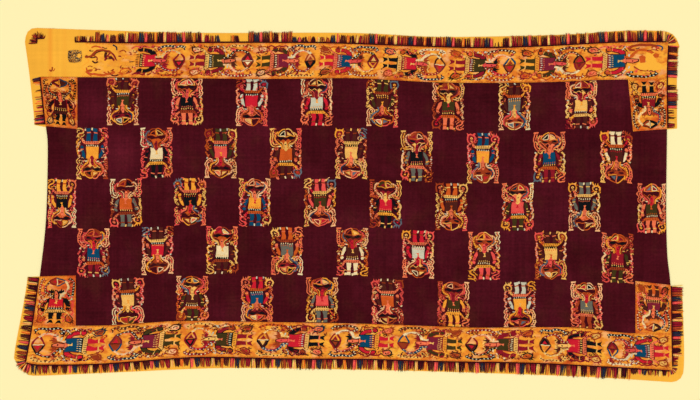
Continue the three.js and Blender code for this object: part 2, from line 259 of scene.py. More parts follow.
bandLook = {
    "name": "goldStitching", "roughness": 0.88, "relief": (0.4 * mm, 0.4),
    "soilScale": (9, 16, 1), "stitchScale": (60, 260, 1), "stitchShades": (0.9, 1.08),
    "rowPitch": 1.8 * mm, "rowShades": (0.92, 1.04), "wander": 1.2,
    "stains": [((30, 44, 1), 0.47, 0.62, 0.6, "ochre", 1.1),
               ((48, 66, 1), 0.55, 0.68, 0.6, "rust"),
               ((20, 30, 1), 0.54, 0.66, 0.6, "peach")],
    "tones": [(0.3, "ochre", 1.05), (0.4, "gold", 0.88), (0.52, "gold", 1.04), (0.7, "marigold", 1.06)],
}
# From and to where along the band it is worn away, and ovals that are worn through, in metres
wornBandLook = {**bandLook, "name": "goldStitchingWorn", "wornTo": (-0.86, -0.66), "ragged": 0.3,
                "wornSpots": [(1.122, 0.518, 0.055, 0.022), (1.13, 0.55, 0.02, 0.036)]}
returnLook = {
    **bandLook, "name": "goldStitchingDeep",
    "tones": [(0.28, "rust", 1.1), (0.4, "ochre", 1.15), (0.56, "gold", 1.0), (0.76, "marigold", 1.0)],
}
wornReturnLook = {**returnLook, "name": "goldStitchingDeepWorn", "wornSpots": [(1.192, 0.46, 0.03, 0.019)]}
soiledReturnLook = {
    **returnLook, "name": "goldStitchingSoiled",
    "tones": [(0.28, "rust", 1.0), (0.4, "ochre", 1.1), (0.54, "gold", 0.92), (0.74, "gold", 1.05)],
}


# Loose scrap: dark and pale threads worn to speckles
def speckled(look):
    material, tree, shader, place = startLook(look)
    cells = addNode(tree, "ShaderNodeTexVoronoi", {"Vector": place, "Scale": 1 / look["speck"]},
                    distance="CHEBYCHEV").outputs["Color"]
    pick = addNode(tree, "ShaderNodeSeparateColor", {0: cells}).outputs["Red"]
    color = wornThrough(tree, place, ramp(tree, pick, look["tones"]), look["wornSpots"])
    finishLook(tree, shader, color, pick, look["relief"])
    return material


scrapLook = {"name": "speckledScrap", "roughness": 0.95, "speck": 2.5 * mm, "relief": (0.5 * mm, 0.4),
             "wornSpots": [(-1.012, 0.56, 0.008, 0.008)],
             "tones": [(0.16, "black", 1.5), (0.36, "brown", 1.0), (0.5, "grey", 0.8),
                       (0.64, "straw", 0.9), (0.8, "olive", 1.2), (0.95, "gold", 1.0)]}


# Dyed thread: the colour is the piece's own, with stitch rows along its thread map
def dyedThread(look):
    material, tree, shader, place = startLook(look)
    color = addNode(tree, "ShaderNodeAttribute", attribute_name="dye").outputs["Color"]
    for scale, amount in look["mottle"]:
        color = mottled(tree, place, color, scale, (1 - amount, 1 + amount))
    thread = addNode(tree, "ShaderNodeUVMap", uv_map="thread").outputs["UV"]
    rows = waves(tree, thread, look["rowPitch"], look["direction"], look["wander"])
    color = shaded(tree, color, rows, look["rowShades"])
    finishLook(tree, shader, color, rows, look["relief"])
    return material


threadLook = {"name": "dyedThread", "roughness": 0.85, "rowPitch": 1.3 * mm, "direction": "Y", "wander": 0.8,
              "rowShades": (0.84, 1.07), "relief": (0.35 * mm, 0.5),
              "mottle": [((45, 45, 1), 0.1), ((240, 240, 1), 0.14)]}
yarnLook = {**threadLook, "name": "twistedYarn", "roughness": 0.88, "rowPitch": 2.2 * mm,
            "direction": "DIAGONAL", "mottle": [((30, 30, 1), 0.15), ((300, 120, 1), 0.2)]}

maroonWool = wovenCloth(groundLook)
marigoldCotton = wovenCloth(supportLook)
goldStitching = stitchedGold(bandLook)
goldStitchingWorn = stitchedGold(wornBandLook)
goldStitchingDeep = stitchedGold(returnLook)
goldStitchingDeepWorn = stitchedGold(wornReturnLook)
goldStitchingSoiled = stitchedGold(soiledReturnLook)
speckledScrap = speckled(scrapLook)
threadMaterial = dyedThread(threadLook)
yarnMaterial = dyedThread(yarnLook)
print("materials ready")


# Outlines, taken from the solids

def outlineOf(nodeName):
    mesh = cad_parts[nodeName].data
    points = np.array([v.co for v in mesh.vertices])
    mesh.calc_loop_triangles()
    corners = np.array([t.vertices for t in mesh.loop_triangles])
    upper = corners[(points[corners][:, :, 2] > points[:, 2].max() - 0.1 * mm).all(axis=1)]
    keys = [tuple(p) for p in np.round(points[:, :2], 5).tolist()]
    sides = {(keys[a], keys[b]) for t in upper for a, b in ((t[0], t[1]), (t[1], t[2]), (t[2], t[0]))}
    onward = {a: b for a, b in sides if (b, a) not in sides}
    ring = [min(onward)]
    while onward[ring[-1]] != ring[0]:
        ring.append(onward[ring[-1]])
    return np.array(ring)


# The outline's four sides, each from left to right or from bottom to top
def edgesOf(nodeName, straightEnds=False):
    ring = outlineOf(nodeName)
    low, high = ring.min(axis=0), ring.max(axis=0)
    corners = [low, (high[0], low[1]), high, (low[0], high[1])]
    at = [int(np.hypot(*(ring - corner).T).argmin()) for corner in corners]
    count = len(ring)
    walk = [ring[[(a + i) % count for i in range((b - a) % count + 1)]] for a, b in zip(at, at[1:] + at[:1])]
    edges = {"bottom": walk[0], "right": walk[1], "top": walk[2][::-1], "left": walk[3][::-1], "ring": ring}
    if straightEnds:
        for side in ("left", "right"):
            edges[side] = edges[side][[0, -1]]
    return edges


def lengthOf(line):
    return np.hypot(*np.diff(line, axis=0).T).sum()


def areaOf(ring):
    x, y = ring.T
    return abs(np.dot(x, np.roll(y, -1)) - np.dot(y, np.roll(x, -1))) / 2


# How far along a line each of its points is
def reachOf(line):
    return np.concatenate([[0], np.cumsum(np.hypot(*np.diff(line, axis=0).T))])


def along(line, shares):
    reach = reachOf(line)
    at = np.asarray(shares) * reach[-1]
    return np.column_stack([np.interp(at, reach, line[:, 0]), np.interp(at, reach, line[:, 1])])


# A point of the flat chart, carried to the place that the four sides give it
def spread(edges, u, v):
    bottom, top = along(edges["bottom"], u), along(edges["top"], u)
    left, right = along(edges["left"], v), along(edges["right"], v)
    u, v = u[:, None], v[:, None]
    corners = ((1 - u) * (1 - v) * edges["bottom"][0] + u * (1 - v) * edges["bottom"][-1]
               + (1 - u) * v * edges["top"][0] + u * v * edges["top"][-1])
    return (1 - v) * bottom + v * top + (1 - u) * left + u * right - corners


# Soft ridges where the cloth doesn't lie quite flat, in millimetres: place, way it runs in degrees, half
# length, half width and height
ripples = [
    ((-1114, 575), 89, 110, 8, 2.4), ((-1066, 560), 93, 90, 12, 1.2), ((-900, -560), 70, 90, 20, 1.4),
    ((-640, -500), 82, 110, 24, 1.6), ((-120, 520), 100, 100, 22, 1.2), ((260, 500), 96, 130, 26, 1.7),
    ((620, 510), 84, 120, 22, 1.3), ((930, -530), 104, 120, 24, 1.8), ((1120, -560), 92, 90, 18, 1.3),
    ((420, -120), 12, 420, 46, 1.5), ((-520, 160), -8, 460, 52, 1.4), ((-300, -220), 84, 300, 40, 1.2),
    ((820, 180), 94, 320, 38, 1.4),
]


def lift(points):
    height = np.zeros(len(points))
    for at, turn, long, wide, high in ripples:
        away = points / mm - at
        c, s = math.cos(math.radians(turn)), math.sin(math.radians(turn))
        height += high * mm * np.exp(-((away @ (c, s) / long) ** 2) - (away @ (-s, c) / wide) ** 2)
    return height


# Cloths

# A sharp turn of an outline in radians, how clear of it the grid stays in cells, and the shading in degrees
grid = {"sharpTurn": 0.5, "clear": 0.4, "smoothAngle": 40}


def sharpTurns(line):
    way = np.diff(line, axis=0)
    heading = np.unwrap(np.arctan2(way[:, 1], way[:, 0]))
    steps = np.cumsum(np.hypot(*way.T))
    return [steps[i] / steps[-1] for i, turn in enumerate(np.diff(heading)) if abs(turn) > grid["sharpTurn"]]


# Grid lines at even steps, and one through every sharp corner of the two sides
def stations(first, second, cell):
    length = max(lengthOf(first), lengthOf(second))
    turns = [*sharpTurns(first), *sharpTurns(second)]
    even = np.linspace(0, 1, max(2, round(length / cell)) + 1)
    clear = [s for s in even if all(abs(s - t) * length > grid["clear"] * cell for t in turns)]
    return np.array(sorted({0.0, 1.0, *clear, *turns}))


def layCloth(cloth):
    edges = edgesOf(cloth["node"])
    low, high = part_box(cloth["node"])
    us = stations(edges["bottom"], edges["top"], cloth["cell"])
    vs = stations(edges["left"], edges["right"], cloth["cell"])
    bpy.ops.object.select_all(action="DESELECT")
    bpy.ops.mesh.primitive_grid_add(x_subdivisions=len(us) - 1, y_subdivisions=len(vs) - 1, size=1)
    piece = bpy.context.object
    piece.name = cloth["name"]
    mesh = piece.data
    points = np.array([v.co for v in mesh.vertices])
    u = us[np.rint((points[:, 0] + 0.5) * (len(us) - 1)).astype(int)]
    v = vs[np.rint((points[:, 1] + 0.5) * (len(vs) - 1)).astype(int)]
    flat = spread(edges, u, v)
    mesh.vertices.foreach_set("co", np.column_stack([flat, high[2] + lift(flat)]).ravel())
    bpy.ops.object.modifier_add(type="SOLIDIFY")
    piece.modifiers[-1].thickness = high[2] - low[2]
    piece.modifiers[-1].offset = -1
    bpy.ops.object.modifier_apply(modifier=piece.modifiers[-1].name)
    bpy.ops.object.shade_smooth_by_angle(angle=math.radians(grid["smoothAngle"]))
    piece.data.materials.clear()
    piece.data.materials.append(cloth["material"])
    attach(piece, "root")
    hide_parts(cloth["node"])
    size = edges["ring"].max(axis=0) - edges["ring"].min(axis=0)
    cloth.update(piece=piece, flat=tuple(sorted(size.tolist())), area=areaOf(edges["ring"]), top=high[2])
    print("laid", cloth["name"], len(piece.data.polygons), "faces")
    return cloth


# Name, node, cell of the mesh in millimetres, slot and material of each
sheets = [
    ("support", "support_cloth", 20, "support_cotton", marigoldCotton),
    ("ground", "ground_cloth", 16, "ground_wool", maroonWool),
    ("bandTop", "band_top", 13, "border_stitching", goldStitchingWorn),
    ("bandBottom", "band_bottom", 13, "border_stitching", goldStitching),
    ("returnTopLeft", "return_top_left", 12, "border_stitching", goldStitchingSoiled),
    ("returnTopRight", "return_top_right", 12, "border_stitching", goldStitchingDeepWorn),
    ("returnBottomLeft", "return_bottom_left", 12, "border_stitching", goldStitchingDeep),
    ("returnBottomRight", "return_bottom_right", 12, "border_stitching", goldStitchingDeep),
    ("scrap", "band_scrap", 6, "border_stitching", speckledScrap),
]
cloths = {}
for name, node, cell, slot, material in sheets:
    cloths[name] = layCloth({"name": name + "Sheet", "node": node, "cell": cell * mm, "slot": slot,
                             "material": material})


# Sewing: each shape is a low closed pad of thread, in millimetres, and a run of figures is one mesh

sewing = {"sunk": -0.3, "rise": 0.45, "layerStep": 0.3, "shapeStep": 0.003, "shapeCycle": 240, "rim": 0.6,
          "lineFoot": 0.5, "lineTop": 0.34, "beadRim": 0.15, "beadRowSteps": 40, "smoothAngle": 50,
          "railWide": 4.2, "railSteps": 14, "rungLong": 3.4, "rungWide": 0.55, "rungPitch": 8.5,
          "ropeSteps": 12, "ropeBead": (0.45, 0.62), "beadPitch": 8.5, "edgeWide": 2.6,
          "seamIn": 2.6, "seamPitch": 5.5, "seamStitch": (2.2, 5.2), "seamSlant": 0.5}


def newWork():
    return {"points": [], "faces": [], "dyes": [], "threads": [], "count": 0, "shapes": 0}


def addShape(work, points, faces, dye, threads):
    start = work["count"]
    work["points"].append(points)
    work["faces"] += [[start + i for i in face] for face in faces]
    work["dyes"] += dye if isinstance(dye, list) else [dye] * len(faces)
    work["threads"] += [threads[i] for face in faces for i in face]
    work["count"] += len(points)
    work["shapes"] += 1


# Later shapes lie a hair above earlier ones, so that no two tops share a plane
def topOf(work, layer):
    hair = work["shapes"] % sewing["shapeCycle"] * sewing["shapeStep"]
    return sewing["rise"] + layer * sewing["layerStep"] + hair


def inset(outline, rim):
    onward = np.roll(outline, -1, axis=0) - outline
    onward = onward / np.maximum(np.hypot(*onward.T), 1e-6)[:, None]
    inward = np.column_stack([-onward[:, 1], onward[:, 0]])
    before = np.roll(inward, 1, axis=0)
    wider = np.maximum(1 + (inward * before).sum(axis=1), 0.5)
    return outline + rim * (inward + before) / wider[:, None]


def turnedLeft(outline):
    outline = np.asarray(outline, float)
    x, y = outline.T
    return outline[::-1] if np.dot(x, np.roll(y, -1)) < np.dot(y, np.roll(x, -1)) else outline


def sewPatch(work, place, outline, dye, layer, grain=0.0, rim=None):
    outline = turnedLeft(outline)
    count = len(outline)
    flat = np.vstack([outline, inset(outline, rim or sewing["rim"])])
    points = np.column_stack([place(flat), np.repeat([sewing["sunk"], topOf(work, layer)], count)])
    sides = [(i, (i + 1) % count, count + (i + 1) % count, count + i) for i in range(count)]
    faces = [*sides, tuple(range(count, 2 * count)), tuple(range(count - 1, -1, -1))]
    turn = math.radians(grain)
    threads = flat @ [[math.cos(turn), -math.sin(turn)], [math.sin(turn), math.cos(turn)]] * mm
    addShape(work, points, faces, dye, threads)


# A smooth line through a few points
def smooth(path, count):
    path = np.asarray(path, float)
    ends = np.vstack([2 * path[0] - path[1], path, 2 * path[-1] - path[-2]])
    t = np.linspace(0, len(path) - 1, count + 1)
    i = np.minimum(t.astype(int), len(path) - 2)
    f = (t - i)[:, None]
    a, b, c, d = ends[i], ends[i + 1], ends[i + 2], ends[i + 3]
    return 0.5 * (2 * b + (c - a) * f + (2 * a - 5 * b + 4 * c - d) * f**2 + (3 * b - a - 3 * c + d) * f**3)


def normalsOf(line):
    way = np.gradient(line, axis=0)
    way = way / np.maximum(np.hypot(*way.T), 1e-9)[:, None]
    return np.column_stack([-way[:, 1], way[:, 0]])


# Faces of a row of rings with four corners each, closed at both ends
def tubeFaces(count):
    sides = [(4 * i + k, 4 * i + (k + 1) % 4, 4 * i + 4 + (k + 1) % 4, 4 * i + 4 + k)
             for i in range(count) for k in range(4)]
    return [*sides, (3, 2, 1, 0), tuple(4 * count + k for k in range(4))]


def sewLine(work, place, path, width, dye, layer, steps=9):
    line = smooth(path, steps)
    normals = normalsOf(line)
    high = topOf(work, layer)
    foot, top, low = sewing["lineFoot"], sewing["lineTop"], sewing["sunk"]
    section = [(-foot, low), (-top, high), (top, high), (foot, low)]
    rings = [np.column_stack([place(line + normals * width * side), np.full(len(line), z)])
             for side, z in section]
    points = np.stack(rings, axis=1).reshape(-1, 3)
    threads = np.array([(run, width * side) for run in reachOf(line) for side, z in section]) * mm
    addShape(work, points, tubeFaces(steps), dye, threads)


def sewBead(work, place, centre, size, dye, layer, turn=0.0, sides=6):
    angles = np.linspace(0, 2 * math.pi, sides, endpoint=False) + math.pi / sides
    oval = np.column_stack([np.cos(angles) * size[0], np.sin(angles) * size[1]])
    oval = oval / 2 / math.cos(math.pi / sides)
    c, s = math.cos(turn), math.sin(turn)
    sewPatch(work, place, oval @ [[c, s], [-s, c]] + centre, dye, layer, rim=min(size) * sewing["beadRim"])


def sewBeadRow(work, place, path, pitch, size, dye, layer, slant=0.0):
    line = smooth(path, sewing["beadRowSteps"])
    reach = reachOf(line)
    count = max(1, int(reach[-1] / pitch))
    way = np.gradient(line, axis=0)
    for i in range(count):
        at = (i + 0.5) / count * reach[-1]
        centre = np.array([np.interp(at, reach, line[:, 0]), np.interp(at, reach, line[:, 1])])
        turn = math.atan2(np.interp(at, reach, way[:, 1]), np.interp(at, reach, way[:, 0]))
        sewBead(work, place, centre, size, dye, layer, turn + slant, sides=4)


# Two rails of thread, with rungs between them
def sewLadder(work, place, path, wide, rail, rungDye, layer):
    line = smooth(path, sewing["railSteps"])
    offset = normalsOf(line) * (wide - sewing["railWide"]) / 2
    for side in (line - offset, line + offset):
        sewLine(work, place, side, sewing["railWide"], rail, layer, sewing["railSteps"])
    rung = (sewing["rungLong"], wide * sewing["rungWide"])
    sewBeadRow(work, place, path, sewing["rungPitch"], rung, rungDye, layer)


# A line of thread, with beads along it
def sewRope(work, place, path, wide, dye, beadDye, layer):
    sewLine(work, place, path, wide, dye, layer, sewing["ropeSteps"])
    if beadDye is not None:
        bead = [wide * share for share in sewing["ropeBead"]]
        sewBeadRow(work, place, path, sewing["beadPitch"], bead, beadDye, layer + 1)


# A row of slanting stitches along some sides of a panel
def sewSeam(work, size, sides, dye):
    near = sewing["seamIn"]
    (right, top), (middle, half) = np.subtract(size, near), np.divide(size, 2)
    rows = {"bottom": [(near, near), (middle, near), (right, near)],
            "top": [(near, top), (middle, top), (right, top)],
            "left": [(near, near), (near, half), (near, top)],
            "right": [(right, near), (right, half), (right, top)]}
    for side in sides:
        sewBeadRow(work, np.asarray, rows[side], sewing["seamPitch"], sewing["seamStitch"], dye, 0,
                   sewing["seamSlant"])


# Charts: millimetres on the flat, carried onto the cloth

def panelSize(edges):
    return np.array([lengthOf(edges["bottom"]) + lengthOf(edges["top"]),
                     lengthOf(edges["left"]) + lengthOf(edges["right"])]) / 2 / mm


def onPanel(edges):
    size = panelSize(edges)

    def carry(chart):
        return spread(edges, chart[:, 0] / size[0], chart[:, 1] / size[1])
    return carry


# On the web, the chart runs along X, and its height follows the two bowed seams. Nothing is sewn past
# the edges.
groundEdges = edgesOf("ground_cloth")
webHigh = 920
webIn = 2


def onWeb(chart):
    x = chart[:, 0] * mm
    low = np.interp(x, *groundEdges["bottom"].T)
    high = np.interp(x, *groundEdges["top"].T)
    y = low + np.clip(chart[:, 1], webIn, webHigh - webIn) / webHigh * (high - low)
    left, right = (np.interp(y, *groundEdges[side].T[::-1]) for side in ("left", "right"))
    return np.column_stack([np.clip(x, left + webIn * mm, right - webIn * mm), y])


def finishSewing(name, work, carry, sheetName):
    points = np.vstack(work["points"])
    flat = carry(points)
    place = np.column_stack([flat, cloths[sheetName]["top"] + points[:, 2] * mm + lift(flat)])
    return weaveMesh(name, place, work, threadMaterial, sheetName)


goesWith = {}  # what is sewn to each cloth


def weaveMesh(name, place, work, material, sheetName):
    mesh = bpy.data.meshes.new(name)
    mesh.from_pydata(place.tolist(), [], work["faces"])
    mesh.attributes.new("dye", "FLOAT_COLOR", "FACE").data.foreach_set("color", np.ravel(work["dyes"]))
    mesh.uv_layers.new(name="thread").data.foreach_set("uv", np.ravel(work["threads"]))
    mesh.materials.append(material)
    piece = bpy.data.objects.new(name, mesh)
    bpy.context.scene.collection.objects.link(piece)
    bpy.ops.object.select_all(action="DESELECT")
    bpy.context.view_layer.objects.active = piece
    piece.select_set(True)
    bpy.ops.object.mode_set(mode="EDIT")
    bpy.ops.mesh.select_all(action="SELECT")
    bpy.ops.mesh.normals_make_consistent(inside=False)
    bpy.ops.object.mode_set(mode="OBJECT")
    bpy.ops.object.shade_smooth_by_angle(angle=math.radians(sewing["smoothAngle"]))
    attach(piece, "root")
    goesWith.setdefault(sheetName, []).append(piece)
    print("sewn", name, len(mesh.polygons), "faces")
    return piece


# The figure, charted in millimetres about its middle, 122 wide and 190 tall. A part with an other dye is
# sewn on the left as it stands and again on the right, turned over. One with a shift is sewn once more
# further along. Some parts are only on the web's figures, or only on the border's.
figureChart = {
    "patches": [
        dict(dye="legs", layer=1, grain=90, shift=26,
             points=[(-23, -44), (-4, -44), (-6, -58), (-8, -68), (-6, -75), (-21, -75), (-22, -62)]),
        dict(dye="legs", layer=1, shift=26, on="web",
             points=[(-20, -79), (-7, -79), (-5, -93), (-26, -93), (-27, -87), (-21, -84)]),
        dict(dye="legs", layer=1, shift=26, on="border",
             points=[(-17, -78), (-10, -78), (-3, -94), (-13, -90), (-24, -94)]),
        dict(dye="cuff", layer=2, shift=26, points=[(-21, -74.5), (-6, -74.5), (-6, -79), (-21, -79)]),
        dict(dye="pale", layer=2, shift=26, on="web",
             points=[(-28, -85), (-22, -84), (-22, -94), (-28, -94)]),
        dict(dye="dark", layer=1, points=[(-25, -24), (25, -24), (27, -35), (-27, -35)]),
        dict(dye="hem", layer=1, edged=True,
             points=[(-26, -34), (26, -34), (30, -39), (29, -46), (-29, -46), (-30, -39)]),
        dict(dye="tunic", layer=1, grain=90, edged=True,
             points=[(-23, 19), (23, 19), (23, 0), (25, -26), (-25, -26), (-23, 0)]),
        dict(dye="neck", layer=2, edged=True, points=[(-11, 20), (11, 20), (2, 8), (-2, 8)]),
        dict(dye="accent", layer=3, points=[(-5, 10), (5, 10), (2, 3), (6, -5), (-6, -5), (-2, 3)]),
        dict(dye="limbs", other="limbs", layer=1, grain=90, on="web",
             points=[(-25, 18), (-31, 17), (-38, 8), (-42, -4), (-44, -15), (-34, -17), (-31, -7),
                     (-26, 4)]),
        dict(dye="cuff", other="cuff", layer=2, on="web",
             points=[(-45, -14), (-33, -16), (-33, -19.5), (-45, -18)]),
        dict(dye="hand", other="hand", layer=1, on="web",
             points=[(-44, -18), (-35, -20), (-32, -25), (-35, -31), (-42, -31), (-46, -25)]),
        dict(dye="limbs", other="limbs", layer=1, grain=90, edged=True, on="border",
             points=[(-24, 18), (-33, 16), (-41, 6), (-46, -8), (-48, -22), (-38, -24), (-35, -12),
                     (-31, -2), (-25, 4)]),
        dict(dye="cuff", other="cuff", layer=2, on="border",
             points=[(-49, -21), (-37, -23), (-37, -26.5), (-49, -25)]),
        dict(dye="hand", other="hand", layer=1, edged=True, on="border",
             points=[(-48, -25), (-38, -27), (-35, -32), (-39, -39), (-46, -39), (-50, -32)]),
        dict(dye="domeLeft", other="domeRight", layer=1, grain=35, head=True, on="web",
             points=[(0, 91), (-11, 89), (-21, 84), (-28, 75), (-30, 66), (-15, 64), (0, 63)]),
        dict(dye="faceLeft", other="faceRight", layer=1, head=True, on="web",
             points=[(0, 55), (-7, 55), (-13, 51), (-19, 49), (-20, 44), (-13, 40), (-9, 33), (-8, 23),
                     (-10, 17), (0, 17)]),
        dict(dye="faceLeft", other="faceRight", layer=1, head=True, on="border",
             points=[(0, 54), (-9, 54), (-16, 50), (-23, 51), (-25, 45), (-19, 39), (-12, 33), (-9, 23),
                     (-11, 17), (0, 17)]),
        dict(dye="mask", layer=2, head=True,
             points=[(-35, 65), (-20, 65), (0, 62), (20, 65), (35, 65), (35, 56), (27, 51), (18, 48),
                     (9, 53), (0, 47), (-9, 53), (-18, 48), (-27, 51), (-35, 56)]),
        dict(dye="eye", other="eye", layer=3, head=True,
             points=[(-30, 59), (-22, 63), (-11, 60), (-5, 55), (-14, 53), (-25, 54)]),
        dict(dye="gemLeft", other="gemRight", layer=2, head=True, on="web",
             points=[(-4, 68), (-4, 84), (-23, 70)]),
        dict(dye="domeLeft", other="domeRight", layer=1, grain=35, head=True, on="border",
             points=[(0, 95), (-15, 89), (-29, 80), (-15, 70), (0, 65)]),
        dict(dye="gemLeft", other="gemRight", layer=2, head=True, on="border",
             points=[(-3, 88), (-19, 80), (-3, 72)]),
        dict(dye="teeth", other="teeth", layer=2, head=True, on="border",
             points=[(-28, 43), (-26, 51), (-21, 46), (-17, 55), (-12, 46), (-9, 51), (-6, 42), (-12, 37),
                     (-21, 38)]),
        dict(dye="neck", layer=2, head=True, edged=True,
             points=[(-3, 47), (3, 47), (7, 35), (5, 20), (-5, 20), (-7, 35)]),
        dict(dye="dark", layer=3, head=True, points=[(-4, 37), (4, 37), (3, 33), (-3, 33)]),
        dict(dye="streamerLeft", other="streamerRight", layer=1, head=True,
             points=[(-61, 95), (-41, 95), (-42, 89), (-60, 88)]),
    ],
    "lines": [
        dict(dye="outline", other="outlineRight", layer=2, wide=5.2, steps=10, head=True, on="border",
             path=[(0, 95), (-15, 89), (-29, 80), (-15, 70), (0, 65)]),
        dict(dye="outline", other="outlineRight", layer=2, wide=4.4, steps=9, head=True, on="web",
             path=[(-31, 65), (-29, 75), (-21, 85), (-11, 91), (-1, 92)]),
        dict(dye="outlineRight", other="outline", layer=3, wide=3.6, steps=6, head=True, on="web",
             path=[(-33, 66), (-16, 66), (0, 63)]),
        dict(dye="hookLeft", other="hookRight", layer=2, wide=8.5, steps=14, head=True, beads="ringBead",
             on="border",
             path=[(-27, 81), (-36, 71), (-40, 57), (-36, 44), (-27, 38), (-17, 33), (-13, 24), (-14, 16)]),
        dict(dye="teeth", other="teeth", layer=2, wide=3.2, steps=6, head=True, on="border",
             path=[(-8, 40), (-10, 30), (-9, 18)]),
        dict(dye="pale", other="curl", layer=2, wide=3.4, steps=5, on="border",
             path=[(-34, 22), (-44, 15), (-56, 12)]),
        dict(dye="curl", other="pale", layer=2, wide=3.4, steps=5, on="border",
             path=[(-40, 6), (-48, 14), (-53, 24)]),
        dict(dye="gemEdgeLeft", other="gemEdgeRight", layer=3, wide=3.8, steps=9, head=True, on="web",
             path=[(-4, 67), (-4, 85), (-24, 69), (-4, 67)]),
        dict(dye="hookLeft", other="hookRight", layer=2, wide=6.4, steps=14, head=True, beads="ringBead",
             on="web", path=[(-23, 80), (-33, 78), (-41, 69), (-42, 56), (-36, 45), (-26, 38), (-17, 33),
                             (-14, 25), (-15, 17)]),
        dict(dye="outlineRight", other="hookLeft", layer=2, wide=3.4, steps=8, head=True, on="web",
             path=[(-20, 45), (-13, 40), (-9, 33), (-8, 24), (-10, 18)]),
        dict(dye="innerLeft", other="innerRight", layer=2, wide=3.6, steps=10, head=True,
             path=[(-34, 72), (-37, 62), (-34, 51), (-27, 44), (-20, 39)]),
        dict(dye="faceRight", other="faceLeft", layer=3, wide=3, steps=10, head=True,
             path=[(-31, 53), (-24, 50), (-18, 47), (-9, 52), (0, 46)]),
        dict(dye="parting", layer=2, wide=4, steps=4, head=True, path=[(0, 92), (0, 79), (0, 66)]),
        dict(dye="hem", other="accent", layer=2, wide=8, steps=5, beads="dark",
             path=[(-28, -41), (-36, -49), (-43, -60)]),
    ],
    "streamers": [
        dict(rail="streamerLeft", rung="beadLeft", wide=13, side=1, head=True),
        dict(rail="streamerRight", rung="beadRight", wide=12.5, side=-1, head=True),
    ],
    "streamerPaths": [
        [(-50, 88), (-54, 74), (-55, 58), (-53, 42), (-46, 31), (-36, 27), (-27, 32)],
        [(-50, 88), (-55, 72), (-52, 58), (-55, 43), (-50, 31), (-41, 26), (-34, 31), (-35, 40)],
        [(-49, 89), (-54, 77), (-48, 65), (-55, 53), (-50, 41), (-55, 30), (-48, 21)],
    ],
    "trails": [dict(dye="trailLeft", side=1, head=True), dict(dye="trailRight", side=-1, head=True)],
    "trailPaths": [
        {"rope": [(-44, 92), (-54, 86), (-58, 70), (-58, 50), (-56, 35), (-48, 26), (-41, 30), (-41, 38)],
         "claws": [[(-48, 92), (-42, 87), (-38, 88)], [(-53, 82), (-48, 77), (-44, 78)]]},
        {"rope": [(-50, 94), (-58, 82), (-55, 68), (-58, 52), (-57, 36), (-49, 27), (-42, 27), (-39, 34)],
         "claws": [[(-53, 93), (-46, 90), (-41, 92)], [(-57, 66), (-52, 60), (-48, 62)]]},
    ],
    "chains": [dict(dye="sideLeft", side=1, wide=7.5), dict(dye="sideRight", side=-1, wide=7.5)],
    "chainPaths": [
        [(-48, 19), (-57, 8), (-53, -6), (-58, -20), (-54, -34), (-57, -48), (-49, -60)],
        [(-46, 15), (-54, 2), (-58, -14), (-53, -28), (-57, -42), (-48, -56)],
        [(-50, 20), (-51, 8), (-57, -2), (-51, -12), (-57, -24), (-52, -38), (-56, -52)],
    ],
    "beadRows": [
        dict(dye="pale", layer=2, pitch=7.4, size=(4.2, 6.5), path=[(-25, -29), (0, -29), (25, -29)]),
        dict(dye="dark", layer=2, pitch=6.5, size=(2.4, 8), path=[(-27, -41), (0, -41), (27, -41)]),
        dict(dye="accent", layer=2, pitch=7, size=(3, 6), path=[(-23, -21), (0, -21), (23, -21)]),
    ],
    "beads": [
        dict(dye="pale", other="pale", layer=3, at=(-22, 28), size=(11, 4.5), head=True),
        dict(dye="pale", other="chainBead", layer=2, at=(-53, -8), size=(8, 8)),
        dict(dye="chainBead", other="pale", layer=2, at=(-51, 17), size=(8, 7)),
        dict(dye="outline", other="sideRight", layer=1, at=(-51, -34), size=(12, 11)),
        dict(dye="dark", other="dark", layer=2, at=(-51, -34), size=(6, 5)),
    ],
    "animals": [("animalLeft", (-45, -76)), ("animalRight", (45, -76))],
    # share of the curls, and where they are
    "curls": [(0.68, (37, 57), (-64, 88)), (0.16, (24, 36), (-94, -50)), (0.16, (28, 44), (16, 44))],
    "curlSpan": (5, 13), "curlWide": 3.2, "curlTurns": (0, 1.2, 2.4), "neckAt": 20,
    "trailWide": 9.5, "clawWide": 3.6, "lineBead": 0.5,
}
